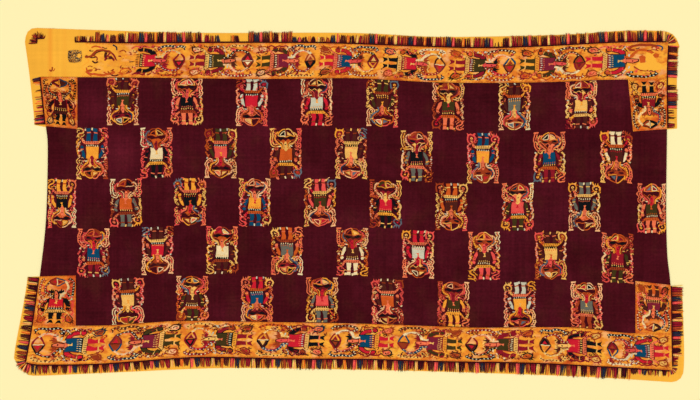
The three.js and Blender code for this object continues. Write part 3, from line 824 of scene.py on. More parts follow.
# The small animals at the lower left of the figure, about their own middle, turned over for the lower right:
# curled up, leaping or twisted on the web, and a bird with a spiky tail on the border
animalCharts = {
    "web": [{
        "lines": [(6.2, [(-9, 19), (-14, 11), (-14, -3), (-8, -11), (0, -12), (8, -11), (14, -3), (14, 9),
                         (8, 16)])],
        "patches": [[(-16, -19), (-14, -5), (-5, -12)], [(16, -19), (14, -5), (5, -12)],
                    [(-4, -12), (4, -12), (0, -18)]],
        "body": [(-8, 16), (-11, 4), (-7, -8), (7, -8), (11, 4), (6, 14)],
        "face": [((0, 2), (11, 10)), ((1, 12), (9, 3.5))],
        "eye": ((0, 3), (4.5, 4.5)),
    }, {
        "lines": [(6.5, [(-12, 16), (-15, 4), (-8, -6), (3, -5), (10, -12), (13, -18)]),
                  (5, [(3, -5), (12, 2), (12, 12), (4, 18), (-2, 13)])],
        "patches": [[(-17, 17), (-13, 24), (-8, 15)], [(-10, -5), (-3, -6), (-8, -18)],
                    [(0, -6), (6, -8), (1, -18)], [(-14, 6), (-19, 1), (-15, -2)]],
        "body": [(-9, 10), (-10, 0), (-2, -4), (7, 1), (7, 10), (0, 13)],
        "face": [((-1, 6), (8, 6)), ((8, -10), (4, 4)), ((-9, -1), (4, 4)), ((12, 7), (3.5, 3.5))],
        "eye": ((-12, 14), (4, 4)),
    }, {
        "lines": [(5.5, [(6, 20), (-6, 17), (-12, 9), (-3, 2), (9, -2), (13, -10), (4, -17), (-9, -15)]),
                  (3.6, [(-14, 0), (-10, -7), (-2, -9)]), (3.6, [(1, 12), (8, 10), (13, 4)])],
        "patches": [[(5, 23), (13, 22), (8, 16)], [(-8, -12), (-17, -13), (-12, -20)],
                    [(-13, 12), (-18, 17), (-10, 17)]],
        "body": [(-6, 12), (-8, 7), (0, 2), (8, 2), (5, 9)],
        "face": [((-7, 11), (4.5, 4.5)), ((4, 0), (5, 4)), ((9, -10), (4, 4)), ((-3, -16), (4, 3.5))],
        "eye": ((4, 19), (3.6, 3.6)),
    }],
    "border": [{
        "lines": [(5, [(2, 21), (11, 12), (12, -1), (5, -11), (-5, -12)]),
                  (3.6, [(-3, 17), (-9, 8), (-9, -3), (-5, -11)]),
                  (3.6, [(4, 8), (-2, 3), (-3, -5)])],
        "patches": [[(-2, -10), (-4, -22), (-9, -11)], [(-7, -11), (-15, -19), (-11, -5)],
                    [(-10, -6), (-19, -10), (-10, 1)], [(7, 18), (1, 23), (-5, 18), (0, 15)]],
        "body": [(4, 16), (9, 8), (9, -3), (2, -9), (-5, -9), (-8, -2), (-7, 7), (-2, 13)],
        "face": [((3, -3), (5, 8))],
        "eye": ((2, 13), (3.8, 3.8)),
    }],
}


# How far the hand wanders, in millimetres, and how fast, across the chart and up it
hand = {"wander": (1.3, 0.9), "across": (0.11, 0.27), "up": (0.12, 0.25)}


# Turned, stretched and set down about a centre, with a slight wander of the hand
def turnedPlace(centre, turn, stretch, chance, levels=None):
    c, s = math.cos(math.radians(turn)), math.sin(math.radians(turn))
    phase = chance.uniform(0, 2 * math.pi, 4)

    def wander(run, paces, phases):
        return [far * np.sin(pace * run + p) for far, pace, p in zip(hand["wander"], paces, phases)]

    def place(points):
        x, y = np.asarray(points, float).T
        if levels is not None:
            y = np.interp(y, *levels)
        x, y = x * stretch[0], y * stretch[1]
        aside, asideFine = wander(y, hand["across"], phase[:2])
        above, aboveFine = wander(x, hand["up"], phase[2:])
        wandered = np.column_stack([x + aside + asideFine, y + above + aboveFine])
        return wandered @ [[c, s], [-s, c]] + centre
    return place


def mirrored(points):
    return [(-x, y) for x, y in points]


def choose(items, chance):
    return items[chance.integers(len(items))]


def sewAnimal(work, place, at, chart, dye, body, face, eye):
    def here(points):
        return place(np.asarray(points, float) * (1 if at[0] < 0 else -1, 1) + at)

    if body is not None:
        sewPatch(work, here, chart["body"], body, 0.5)
    for wide, path in chart["lines"]:
        sewLine(work, here, path, wide, dye, 1, sewing["ropeSteps"])
    for points in chart["patches"]:
        sewPatch(work, here, points, dye, 1)
    for middle, size in chart["face"]:
        sewBead(work, here, middle, size, face, 2)
    sewBead(work, here, *chart["eye"], eye, 3)


# Small loose curls in the gaps, none lower than the chart's height that is given
def sewCurls(work, place, shade, chance, lowest):
    for share, across, up in figureChart["curls"]:
        for i in range(round(shade["curlCount"] * share)):
            dye = shade[chance.choice(["curl", "curlOther", "sideRight"])]
            middle = np.array([chance.uniform(*across) * chance.choice([-1, 1]), chance.uniform(*up)])
            start, radius = chance.uniform(0, 6.28), chance.uniform(*figureChart["curlSpan"]) / 2
            path = [middle + radius * np.array([math.cos(start + turn), math.sin(start + turn)])
                    for turn in figureChart["curlTurns"]]
            if dye is not None and middle[1] > lowest:
                sewLine(work, place, path, figureChart["curlWide"], dye, 2, steps=4)


# Every part, unless its dye is None. The zone is all of the figure or its head.
def sewFigure(work, place, shade, chance, zone="all"):
    work["shapes"] = 0

    def wanted(part, dye):
        inZone = zone == "all" or part.get("head", False)
        inPlace = part.get("on", shade["on"]) == shade["on"]
        return inZone and inPlace and shade[dye] is not None

    def patch(part, points, dye):
        if wanted(part, dye):
            if part.get("edged") and shade["edge"] is not None:
                edge = inset(turnedLeft(points), -sewing["edgeWide"])
                sewPatch(work, place, edge, shade["edge"], part["layer"] - 0.5)
            sewPatch(work, place, points, shade[dye], part["layer"], part.get("grain", 0))

    # The dye and the points of each side that a part has
    def sidesOf(part, points):
        both = [(part["dye"], points)]
        return both + [(part["other"], mirrored(points))] if "other" in part else both

    def sided(part, path):
        return path if part["side"] > 0 else mirrored(path)

    for part in figureChart["chains"]:
        path = sided(part, choose(figureChart["chainPaths"], chance))
        if wanted(part, part["dye"]):
            wide = part["wide"] * shade["thin"]
            sewRope(work, place, path, wide, shade[part["dye"]], shade["chainBead"], 1)
    for part in figureChart["streamers"]:
        path = sided(part, choose(figureChart["streamerPaths"], chance))
        if wanted(part, part["rail"]):
            sewLadder(work, place, path, part["wide"], shade[part["rail"]], shade[part["rung"]], 1)
    for part in figureChart["trails"]:
        if wanted(part, part["dye"]):
            route = choose(figureChart["trailPaths"], chance)
            dye, beadDye = shade[part["dye"]], shade[part["dye"] + "Bead"]
            sewRope(work, place, sided(part, route["rope"]), figureChart["trailWide"], dye, beadDye, 1)
            for claw in route["claws"]:
                sewLine(work, place, sided(part, claw), figureChart["clawWide"], dye, 1, steps=4)
    for part in figureChart["patches"]:
        for dye, points in sidesOf(part, part["points"]):
            patch(part, points, dye)
        if "shift" in part:
            patch(part, [(x + part["shift"], y) for x, y in part["points"]], part["dye"])
    for part in figureChart["lines"]:
        for dye, path in sidesOf(part, part["path"]):
            if wanted(part, dye):
                sewLine(work, place, path, part["wide"], shade[dye], part["layer"], part["steps"])
                if "beads" in part and shade[part["beads"]] is not None:
                    bead = (part["wide"] * figureChart["lineBead"],) * 2
                    sewBeadRow(work, place, path, sewing["beadPitch"], bead, shade[part["beads"]],
                               part["layer"] + 1)
    for part in figureChart["beadRows"]:
        if wanted(part, part["dye"]):
            sewBeadRow(work, place, part["path"], part["pitch"], part["size"], shade[part["dye"]],
                       part["layer"])
    for part in figureChart["beads"]:
        for dye, [middle] in sidesOf(part, [part["at"]]):
            if wanted(part, dye):
                sewBead(work, place, middle, part["size"], shade[dye], part["layer"])
    for dye, at in figureChart["animals"]:
        if wanted({}, dye):
            chart = choose(animalCharts[shade["on"]], chance)
            sewAnimal(work, place, at, chart, shade[dye], shade["animalBody"], shade["animalFace"],
                      shade["dark"])
    sewCurls(work, place, shade, chance, figureChart["neckAt"] if zone == "head" else -math.inf)


# Dyes that a figure's parts are picked from, on the maroon web and on the gold border
webDyes = {
    "outline": "salmon gold straw rose ochre rust", "outlineRight": "gold peach salmon ochre rust",
    "hookLeft": "peach straw gold salmon rose ochre", "hookRight": "salmon gold peach rust rose slate",
    "innerLeft": "slate blue rust salmon plum none", "innerRight": "rust ochre blue salmon none",
    "ringBead": "none none maroon crimson", "parting": "gold salmon rust", "edge": "none",
    "faceLeft": "brown ochre maroon rust crimson straw",
    "faceRight": "salmon rust maroon crimson ochre brown",
    "domeLeft": "none brown rust maroon crimson none", "domeRight": "none maroon brown rust olive none",
    "gemLeft": "maroon crimson scarlet black slate straw",
    "gemRight": "navy black salmon crimson maroon straw",
    "gemEdgeLeft": "cream straw salmon rust none", "gemEdgeRight": "cream peach gold ochre none",
    "mask": "brown maroon none rust crimson none", "eye": "black maroon black", "dark": "maroon black",
    "neck": "scarlet salmon rose crimson straw salmon", "pale": "cream pearl straw cream", "teeth": "none",
    "hand": "limbs limbs limbs salmon", "cuff": "salmon rust ochre straw",
    "hem": "salmon ochre straw gold rust", "accent": "scarlet gold ochre straw salmon",
    "streamerLeft": "straw peach cream salmon peach rose",
    "streamerRight": "peach salmon straw peach cream rust",
    "beadLeft": "straw salmon peach rust", "beadRight": "salmon peach rose ochre",
    "sideLeft": "salmon rust peach gold straw", "sideRight": "salmon ochre rust straw rose",
    "chainBead": "maroon cream maroon pearl", "curl": "salmon straw peach gold rose",
    "curlOther": "rust crimson rose brown",
    "animalBody": "none none crimson rust", "animalFace": "scarlet gold ochre straw salmon",
    "animalLeft": "straw salmon rose straw gold slate", "animalRight": "straw rust gold rose salmon crimson",
}
borderDyes = {
    "outline": "brown crimson black plum", "outlineRight": "blue crimson brown rust",
    "hookLeft": "brown crimson blue black", "hookRight": "cream straw cream peach",
    "teeth": "brown crimson black rust",
    "innerLeft": "scarlet ochre salmon", "innerRight": "rust salmon none",
    "ringBead": "cream pearl straw", "parting": "cream brown", "edge": "brown black crimson",
    "faceLeft": "none none ochre", "faceRight": "none none straw",
    "domeLeft": "brown crimson rust black", "domeRight": "none rust none none",
    "gemLeft": "scarlet rust scarlet straw", "gemRight": "cream rust none crimson", "gemEdgeLeft": "none",
    "gemEdgeRight": "none",
    "mask": "none", "eye": "none", "dark": "crimson brown black", "neck": "salmon straw rose salmon",
    "pale": "cream pearl straw", "hand": "limbs limbs ochre rust", "cuff": "straw gold salmon",
    "hem": "straw gold salmon straw", "accent": "straw salmon",
    "streamerLeft": "none", "streamerRight": "none",
    "sideLeft": "rust crimson brown ochre", "sideRight": "rust rose crimson ochre",
    "chainBead": "cream straw none", "curl": "rust crimson brown brown",
    "curlOther": "ochre rust crimson rose",
    "animalBody": "peach straw salmon ochre rust", "animalFace": "scarlet ochre scarlet rust",
    "animalLeft": "crimson brown black rust", "animalRight": "brown crimson navy rust",
}
# Trails on the border: rope and beads
trailDyes = ("crimson/cream black/pearl brown/straw straw/brown rust/cream navy/cream cream/crimson"
             " brown/cream ochre/brown").split()
dyeTones = (0.88, 1.08)
# How thick the chains are beside the chart's, and how many curls there are
kinds = {"web": {"parts": webDyes, "thin": 1, "curlCount": 74},
         "border": {"parts": borderDyes, "thin": 0.72, "curlCount": 78}}


def pickDyes(on, pair, chance):
    tunic, limbs = pair.split("/")
    shade = {"on": on, "thin": kinds[on]["thin"], "curlCount": kinds[on]["curlCount"],
             "tunic": dyeColor(tunic), "limbs": dyeColor(limbs), "legs": dyeColor(limbs)}
    for part, names in kinds[on]["parts"].items():
        name = chance.choice(names.split()).replace("limbs", limbs)
        shade[part] = None if name == "none" else dyeColor(name, chance.uniform(*dyeTones))
    for part in ("trailLeft", "trailRight"):
        rope, bead = chance.choice(trailDyes).split("/")
        shade[part], shade[part + "Bead"] = (None, None) if on == "web" else (dyeColor(rope), dyeColor(bead))
    return shade


# A figure of its own: how many curls it has, dyes of its own, and the parts that are gone
def changed(shade, curlCount, ownDyes, gone=""):
    own = {part: dyeColor(dye) for part, dye in ownDyes.items()}
    return {**shade, "curlCount": curlCount, **own, **dict.fromkeys(gone.split())}


# The web's chequerboard: tunic and limbs of each figure, row by row from the top. The first and last of the
# top and bottom rows are on the returns.
web = {
    "pitch": 119.4, "widening": 0.1875, "ends": (0, 18), "wide": 0.98, "endNarrow": 0.9, "seed": 11,
    "rows": [
        {"at": 0.096, "first": -1088, "high": 0.95, "pairs":
         "maroon/black olive/brown black/salmon scarlet/pearl pearl/scarlet brown/olive olive/salmon"
         " grey/brown straw/brown crimson/black"},
        {"at": 0.307, "first": -1082, "high": 1.0, "pairs":
         "gold/blue cream/black rose/olive ochre/brown straw/brown black/grey gold/blue blue/crimson"
         " brown/cream"},
        {"at": 0.508, "first": -1076, "high": 0.95, "pairs":
         "black/gold ochre/grey black/gold gold/blue olive/rose scarlet/black brown/ochre rose/olive"
         " black/grey olive/salmon"},
        {"at": 0.707, "first": -1077, "high": 0.95, "pairs":
         "blue/crimson scarlet/brown cream/brown grey/ochre brown/cream pearl/scarlet brown/rose straw/brown"
         " crimson/olive"},
        {"at": 0.907, "first": -1068, "high": 0.91, "pairs":
         "scarlet/black straw/brown brown/olive blue/scarlet rose/grey ochre/brown olive/gold gold/pearl"
         " grey/rust plum/brown"},
    ],
}
returnOf = {(0, 0): "returnTopLeft", (0, 9): "returnTopRight", (4, 0): "returnBottomLeft",
            (4, 9): "returnBottomRight"}
returnFit = {"chart": (124, 192), "margin": (8, 12)}  # size of the chart, and what stays free round it
# What soil leaves of the red, green and blue of a return's dyes, how many curls it has, and dyes of its own
returnSoil = {
    "returnTopLeft": ((0.9, 0.75, 0.65), 110, {
        "hookLeft": "black", "hookRight": "brown", "gemLeft": "gold", "gemRight": "brown", "parting": "gold",
        "domeRight": "brown", "hem": "brown", "cuff": "gold", "trailLeft": "brown", "trailLeftBead": "straw",
        "trailRight": "black", "trailRightBead": "gold", "animalLeft": "navy", "animalRight": "brown",
        "animalBody": "straw", "teeth": "brown"}),
    "returnTopRight": ((1.0, 0.92, 0.78), 80, {}),
    "returnBottomLeft": ((0.95, 0.84, 0.72), 90, {}),
    "returnBottomRight": ((1.05, 1.0, 0.92), 80, {}),
}


def isUpright(row, place):
    return (place + (row + 1) // 2) % 2 == 0


def sewWeb():
    for index, row in enumerate(web["rows"]):
        work = newWork()
        for place, pair in enumerate(row["pairs"].split()):
            chance = np.random.default_rng([web["seed"], index, place])
            turn = 0 if isUpright(index, place) else 180
            if (index, place) in returnOf:
                sewReturn(returnOf[(index, place)], pair, turn, chance)
                continue
            column = 2 * place + index % 2
            x = row["first"] + column * web["pitch"] + column**2 * web["widening"]
            wide = web["wide"] * (web["endNarrow"] if column in web["ends"] else 1.0)
            stretch = (wide * chance.choice([-1, 1]), row["high"])
            here = turnedPlace((x, (1 - row["at"]) * webHigh), turn, stretch, chance)
            sewFigure(work, here, pickDyes("web", pair, chance), chance)
        finishSewing(f"figuresRow{index + 1}", work, onWeb, "ground")


def sewReturn(name, pair, turn, chance):
    edges = edgesOf(cloths[name]["node"])
    size = panelSize(edges)
    work = newWork()
    stretch = (size - returnFit["margin"]) / returnFit["chart"]
    here = turnedPlace(size / 2, turn, stretch, chance, border["levels"])
    soil, *own = returnSoil[name]
    sewFigure(work, here, changed(pickDyes("border", pair, chance), *own), chance)
    work["dyes"] = [(*np.minimum(np.multiply(dye[:3], soil), 1), 1.0) for dye in work["dyes"]]
    sewSeam(work, size, ("left", "right", "bottom", "top"), dyeColor("ochre"))
    finishSewing(name + "Figure", work, onPanel(edges), name)


# The bands: figures lie along them, four dyes in turn, heads to the right above and to the left below. Each
# has where its head ends and how long it is, in millimetres along the band.
border = {
    "repeat": ["blue/scarlet", "plum/olive", "olive/crimson", "scarlet/black"], "wide": 0.97, "seed": 23,
    "chart": (132, 192),
    # a shorter tunic and a longer face than on the web
    "levels": ((-96, -46, -26, 19, 63, 96), (-96, -48, -28, 9, 60, 96)),
    "bandTop": {"turn": -90, "figures": [(2160, 281), (1883, 250), (1623, 254), (1358, 238), (1108, 226),
                                         (872, 226), (639, 244), (384, 250), (127, 258)]},
    "bandBottom": {"turn": 90, "figures": [(6, 280), (298, 274), (581, 260), (853, 258), (1125, 246),
                                           (1380, 246), (1635, 262), (1910, 240), (2165, 238)]},
}
# Worn figures of the top band: how many curls are left, the dyes that changed, and the parts that are gone
wornFigures = {
    0: (24, {"hookRight": "ochre", "innerLeft": "rust", "trailLeft": "black", "trailLeftBead": "pearl",
             "trailRight": "rust"},
        "domeLeft domeRight gemLeft gemRight outline outlineRight parting teeth hookLeft innerRight"
        " trailRightBead ringBead"),
    7: (50, {"legs": "gold", "cuff": "gold", "animalLeft": "ochre", "animalFace": "gold"},
        "hem animalRight animalBody"),
    8: (26, {"gemLeft": "brown", "outline": "crimson", "hookLeft": "rust", "innerLeft": "brown",
             "trailRight": "ochre"},
        "domeLeft domeRight gemRight outlineRight parting teeth hookRight innerRight trailLeft"
        " trailRightBead ringBead neck faceLeft faceRight dark pale edge"),
}


def sewBand(name):
    edges = edgesOf(cloths[name]["node"], straightEnds=True)
    size = panelSize(edges)
    run = border[name]
    work = newWork()
    for i, (head, length) in enumerate(run["figures"]):
        chance = np.random.default_rng([border["seed"], i, run["turn"] + 90])
        pair = border["repeat"][i % len(border["repeat"])]
        middle = head + (length / 2 if run["turn"] > 0 else -length / 2)
        wide = border["wide"] * size[1] / border["chart"][0]
        stretch = (wide * chance.choice([-1, 1]), length / border["chart"][1])
        here = turnedPlace((middle, size[1] / 2), run["turn"], stretch, chance, border["levels"])
        shade = pickDyes("border", pair, chance)
        if name == "bandTop" and i in wornFigures:
            shade = changed(shade, *wornFigures[i])
        sewFigure(work, here, shade, chance, "head" if middle < 0 else "all")
    sewSeam(work, size, ("bottom", "top"), dyeColor("ochre"))
    finishSewing(name + "Figures", work, onPanel(edges), name)


sewWeb()
sewBand("bandTop")
sewBand("bandBottom")


# Stitches left where the border is lost or worn, for the cloth that they are on: dye, width, or 0 for a
# patch, and points, in millimetres from the middle
remains = {
    "support": [
        ("rust", 5, [(-1123, 507), (-1117, 502), (-1113, 507), (-1112, 517)]),
        ("ochre", 4, [(-1109, 502), (-1105, 507), (-1103, 512)]),
    ],
    "bandTop": [
        ("ochre", 6, [(-984, 515), (-980, 495), (-966, 485)]),
        ("ochre", 6, [(-965, 590), (-950, 595), (-930, 590)]),
        ("brown", 5, [(-985, 560), (-965, 552), (-945, 555)]),
        ("rust", 6, [(-976, 556), (-958, 560), (-944, 551), (-946, 540)]),
        ("brown", 7, [(-962, 540), (-952, 533), (-940, 537)]),
        ("brown", 12, [(-910, 572), (-913, 558), (-908, 545)]),
        ("crimson", 9, [(-902, 556), (-888, 551), (-880, 541)]),
        ("navy", 6, [(-885, 600), (-872, 592), (-870, 580)]),
        ("rust", 5, [(-860, 575), (-845, 580), (-835, 572)]),
        ("crimson", 6, [(-864, 558), (-853, 556), (-846, 547)]),
        ("brown", 4, [(-836, 549), (-820, 556), (-804, 556)]),
        ("brown", 4, [(-824, 536), (-812, 537), (-800, 536)]),
        ("brown", 6, [(-892, 488), (-878, 484), (-864, 488)]),
        ("ochre", 6, [(-920, 498), (-905, 492), (-888, 496)]),
        ("ochre", 0, [(1086, 557), (1100, 562), (1112, 555), (1110, 534), (1092, 532)]),
        ("ochre", 0, [(1138, 562), (1148, 570), (1163, 565), (1160, 553), (1146, 551)]),
        ("blue", 6, [(1140, 597), (1160, 597), (1174, 592), (1172, 580)]),
        ("rust", 4, [(1068, 520), (1082, 508), (1100, 504)]),
        ("salmon", 4, [(1115, 502), (1140, 500), (1160, 504)]),
        ("rust", 4, [(1120, 578), (1140, 582), (1160, 578)]),
    ],
}


def inMillimetres(chart):
    return chart[:, :2] * mm


for name, stitches in remains.items():
    work = newWork()
    for dye, wide, points in stitches:
        if wide:
            sewLine(work, np.asarray, points, wide, dyeColor(dye), 0, sewing["ropeSteps"])
        else:
            sewPatch(work, np.asarray, points, dyeColor(dye), 0)
    finishSewing(name + "Remains", work, inMillimetres, name)


# Fringe: a woven heading, and yarns in groups of one dye, with the lengths and the wear of the solids

fringe = {
    "yarnPitch": 2.57 * mm, "yarnThick": 3.0 * mm, "yarnUnder": 1.5 * mm, "level": 1.5 * mm, "seed": 31,
    # How far on each ring of a yarn is, and how wide beside the one before
    # The last entry is how much of each yarn, from its root by the heading, is darkened as painted shade
    "yarnSides": 5, "rings": [(0.2, 1.08), (0.3, 0.94), (0.3, 0.86), (0.2, 0.45)], "rootShadePart": 0.25,
    "flattened": 0.7, "thinning": 0.25, "twist": 3,
    "headingWide": 6 * mm, "headingGap": 0.5 * mm, "headingHigh": 1.9 * mm, "headingBevel": 0.1,
    "headingTone": 0.8, "ribPitch": 4 * mm, "ribHigh": 0.25 * mm, "lineSteps": 600, "wayStep": 0.002,
    "lengthUneven": 0.08, "leanUneven": 4, "asideUneven": 0.9, "swayUneven": 0.7,
    "shortest": 0.55, "fuller": 0.35, "gathering": 0.8,
    # The first entry is the tone of the painted shade at the yarns' roots, next to the heading
    "rootShadeTone": 0.7, "tones": (1.0, 1.45), "mixedEvery": 4, "seamTone": 0.85, "seamFrom": 4,
    # The repeat: main dye, dye mixed in, yarns in the group, and how long they are beside the others
    "groups": [("navy", "maroon", 8, 0.96), ("rose", "crimson", 6, 0.98), ("brown", "maroon", 9, 0.94),
               ("ochre", "gold", 5, 0.96), ("maroon", "black", 8, 0.92), ("straw", "salmon", 5, 0.97),
               ("crimson", "maroon", 8, 0.97), ("rust", "brown", 7, 0.96)],
    "fanYarns": 26, "fanGroup": 3, "fanThick": 2.4 * mm, "fanReach": (0.75, 0.98), "fanSway": 0.5,
}
# Each run follows some edges, within a span along X or Y. Its wear goes up to a share of it: length in
# millimetres, the tip's share of the root's width, and the share of yarns left. A fan has its place, angles
# and length.
runs = {
    "fringe_top": {
        "name": "fringeTop", "salt": 1, "out": 1, "first": 20, "step": 1, "spaced": 1.0, "longer": True,
        "edges": [("band_top", "top")], "axis": 0, "span": (-1.028, 1.192), "fans": [(1190, 606, 82, 4, 36)],
        "wear": [(0.035, 22, 0.7, 0.8), (0.044, 38, 0.9, 1), (0.077, 31, 0.7, 0.9), (0.217, 39, 0.9, 1),
                 (0.248, 28, 0.5, 0.8), (0.263, 0, 0, 0), (0.276, 27, 0.6, 0.8), (0.297, 0, 0, 0),
                 (0.364, 39, 1, 1), (0.429, 21, 0.45, 0.8), (0.488, 32, 0.65, 0.9), (0.71, 36, 0.95, 1),
                 (0.725, 20, 0.5, 0.35), (1, 39, 1, 1)]},
    "fringe_top_left": {
        "name": "fringeTopLeft", "salt": 5, "out": -1, "first": 4, "step": 11, "each": 3, "spaced": 1.0,
        "edges": [("return_top_left", "left")], "axis": 1, "span": (0.302, 0.484),
        "wear": [(0.14, 33, 0.7, 0.8), (0.28, 20, 0.5, 0.15), (0.5, 24, 0.4, 0.4), (0.7, 28, 0.4, 0.5),
                 (1, 38, 0.7, 0.9)]},
    "fringe_top_right": {
        "name": "fringeTopRight", "salt": 9, "out": 1, "first": 12, "step": 1, "spaced": 0.8,
        "edges": [("band_top", "right"), ("return_top_right", "right")], "axis": 1, "span": (0.288, 0.598),
        "wear": [(0.4, 38, 0.95, 1), (0.49, 0, 0, 0), (0.78, 37, 0.95, 1), (0.93, 30, 0.5, 0.35),
                 (1, 28, 0.6, 0.9)]},
    "fringe_bottom": {
        "name": "fringeBottom", "salt": 13, "out": -1, "first": 14, "step": -1, "spaced": 1.06,
        "edges": [("band_bottom", "bottom")], "axis": 0, "span": (-1.21, 1.204),
        "fans": [(-1203, -586, 182, 272, 44), (1206, -610, 275, 350, 22)],
        "wear": [(0.12, 34, 0.55, 0.9), (0.25, 34, 0.55, 0.95), (0.4, 37, 0.6, 0.95), (0.6, 39, 0.7, 1),
                 (0.76, 40, 0.7, 1), (0.94, 43, 0.7, 1), (1, 22, 0.5, 0.85)]},
    "fringe_bottom_left": {
        "name": "fringeBottomLeft", "salt": 17, "out": -1, "first": 46, "step": -1, "spaced": 1.05,
        "edges": [("return_bottom_left", "left"), ("band_bottom", "left")],
        "axis": 1, "span": (-0.588, -0.272),
        "wear": [(0.55, 40, 0.65, 0.95), (1, 41, 0.55, 0.9)]},
    "fringe_bottom_right": {
        "name": "fringeBottomRight", "salt": 21, "out": 1, "first": 40, "step": 1, "spaced": 0.9,
        "edges": [("return_bottom_right", "right"), ("band_bottom", "right")],
        "axis": 1, "span": (-0.606, -0.304),
        "wear": [(0.6, 41, 0.9, 1), (0.85, 36, 0.8, 0.95), (1, 21, 0.6, 0.9)]},
}


# One yarn, a unit long and a unit thick, drawn out ring by ring and brought to a soft point
def modelYarn():
    bpy.ops.object.select_all(action="DESELECT")
    bpy.ops.mesh.primitive_circle_add(vertices=fringe["yarnSides"], radius=0.5, fill_type="NGON")
    yarn = bpy.context.object
    for step, size in fringe["rings"]:
        top = max(p.center.z for p in yarn.data.polygons)
        for polygon in yarn.data.polygons:
            polygon.select = polygon.center.z > top - 0.001
        bpy.ops.object.mode_set(mode="EDIT")
        bpy.ops.mesh.extrude_region_move(TRANSFORM_OT_translate={"value": (0, 0, step)})
        bpy.ops.transform.resize(value=(size, size, 1))
        bpy.ops.object.mode_set(mode="OBJECT")
    points = np.array([v.co for v in yarn.data.vertices])
    faces = [tuple(p.vertices) for p in yarn.data.polygons]
    bpy.data.objects.remove(yarn)
    return points, faces


yarnPoints, yarnFaces = modelYarn()
# Faces near the root of the yarn, which are darkened as painted shade
yarnInRootShade = [max(yarnPoints[i][2] for i in face) < fringe["rootShadePart"] for face in yarnFaces]


# The unit yarn, laid from root to tip and swaying to one side on its way
def layYarn(work, root, tip, sway, thick, dye, level):
    way = tip - root
    side = np.array([-way[1], way[0]]) / max(np.hypot(*way), 1e-9)
    run = yarnPoints[:, 2]
    aside = yarnPoints[:, 0] * thick + sway * np.sin(run * math.pi)
    flat = root + np.outer(run, way) + np.outer(aside, side)
    thinner = 1 - fringe["thinning"] * run
    height = level + thick * (0.5 + yarnPoints[:, 1]) * fringe["flattened"] * thinner
    threads = np.column_stack([yarnPoints[:, 0] * thick * fringe["twist"], run * np.hypot(*way)])
    # Painted shade: the faces at the yarn's root are darkened
    rootShadedDye = tuple(fringe["rootShadeTone"] * part for part in dye[:3]) + (1.0,)
    dyesOf = [rootShadedDye if inRootShade else dye for inRootShade in yarnInRootShade]
    addShape(work, np.column_stack([flat, height]), yarnFaces, dyesOf, threads)


def uneven(index, salt):
    wave = math.sin(index * 12.9898 + salt * 78.233) * 43758.5453
    return wave - math.floor(wave)


# The root line, from left to right or from the top down. The longer one starts before its edge does.
def rootLine(run):
    edges = [edgesOf(node)[side] for node, side in run["edges"]]
    axis, (low, high) = run["axis"], run["span"]
    if axis == 1:
        edges = [edge[::-1] for edge in edges]
    if run.get("longer"):
        edges = [(low, edges[0][0][1]), *edges]
    fine = along(np.vstack(edges), np.linspace(0, 1, fringe["lineSteps"]))
    return fine[(fine[:, axis] >= low) & (fine[:, axis] <= high)]


# A narrow ribbed tape
def layHeading(work, root, out):
    count = int(lengthOf(root) / fringe["ribPitch"])
    line = along(root, np.linspace(0, 1, count + 1))
    normals = normalsOf(line) * out
    ribs = fringe["ribHigh"] * np.where(np.arange(count + 1) % 2, 1, -1)
    top, bevel = fringe["headingHigh"], fringe["headingBevel"]
    section = [(0.0, 0.0, 0), (bevel, top, 1), (1 - bevel, top, 1), (1.0, 0.0, 0)]
    rings = [np.column_stack([line + normals * (fringe["headingGap"] + side * fringe["headingWide"]),
                              fringe["level"] + high + ribs * rib])
             for side, high, rib in section]
    points = np.stack(rings, axis=1).reshape(-1, 3)
    addShape(work, points, tubeFaces(count), dyeColor("maroon", fringe["headingTone"]), points[:, :2])


def yarnDye(group, index, chance):
    mixed = index % fringe["mixedEvery"] == 1
    return dyeColor(group[1] if mixed else group[0], chance.uniform(*fringe["tones"]))


# Yarns spread round a corner
def layFan(work, fan, chance):
    x, y, start, end, length = fan
    for i, angle in enumerate(np.linspace(start, end, fringe["fanYarns"])):
        way = np.array([math.cos(math.radians(angle)), math.sin(math.radians(angle))])
        root = np.array([x, y]) * mm + way * fringe["headingWide"]
        tip = root + way * length * mm * chance.uniform(*fringe["fanReach"])
        group = fringe["groups"][i // fringe["fanGroup"] % len(fringe["groups"])]
        sway = chance.normal(0, fringe["fanSway"]) * mm
        layYarn(work, root, tip, sway, fringe["fanThick"], yarnDye(group, i, chance), fringe["level"])


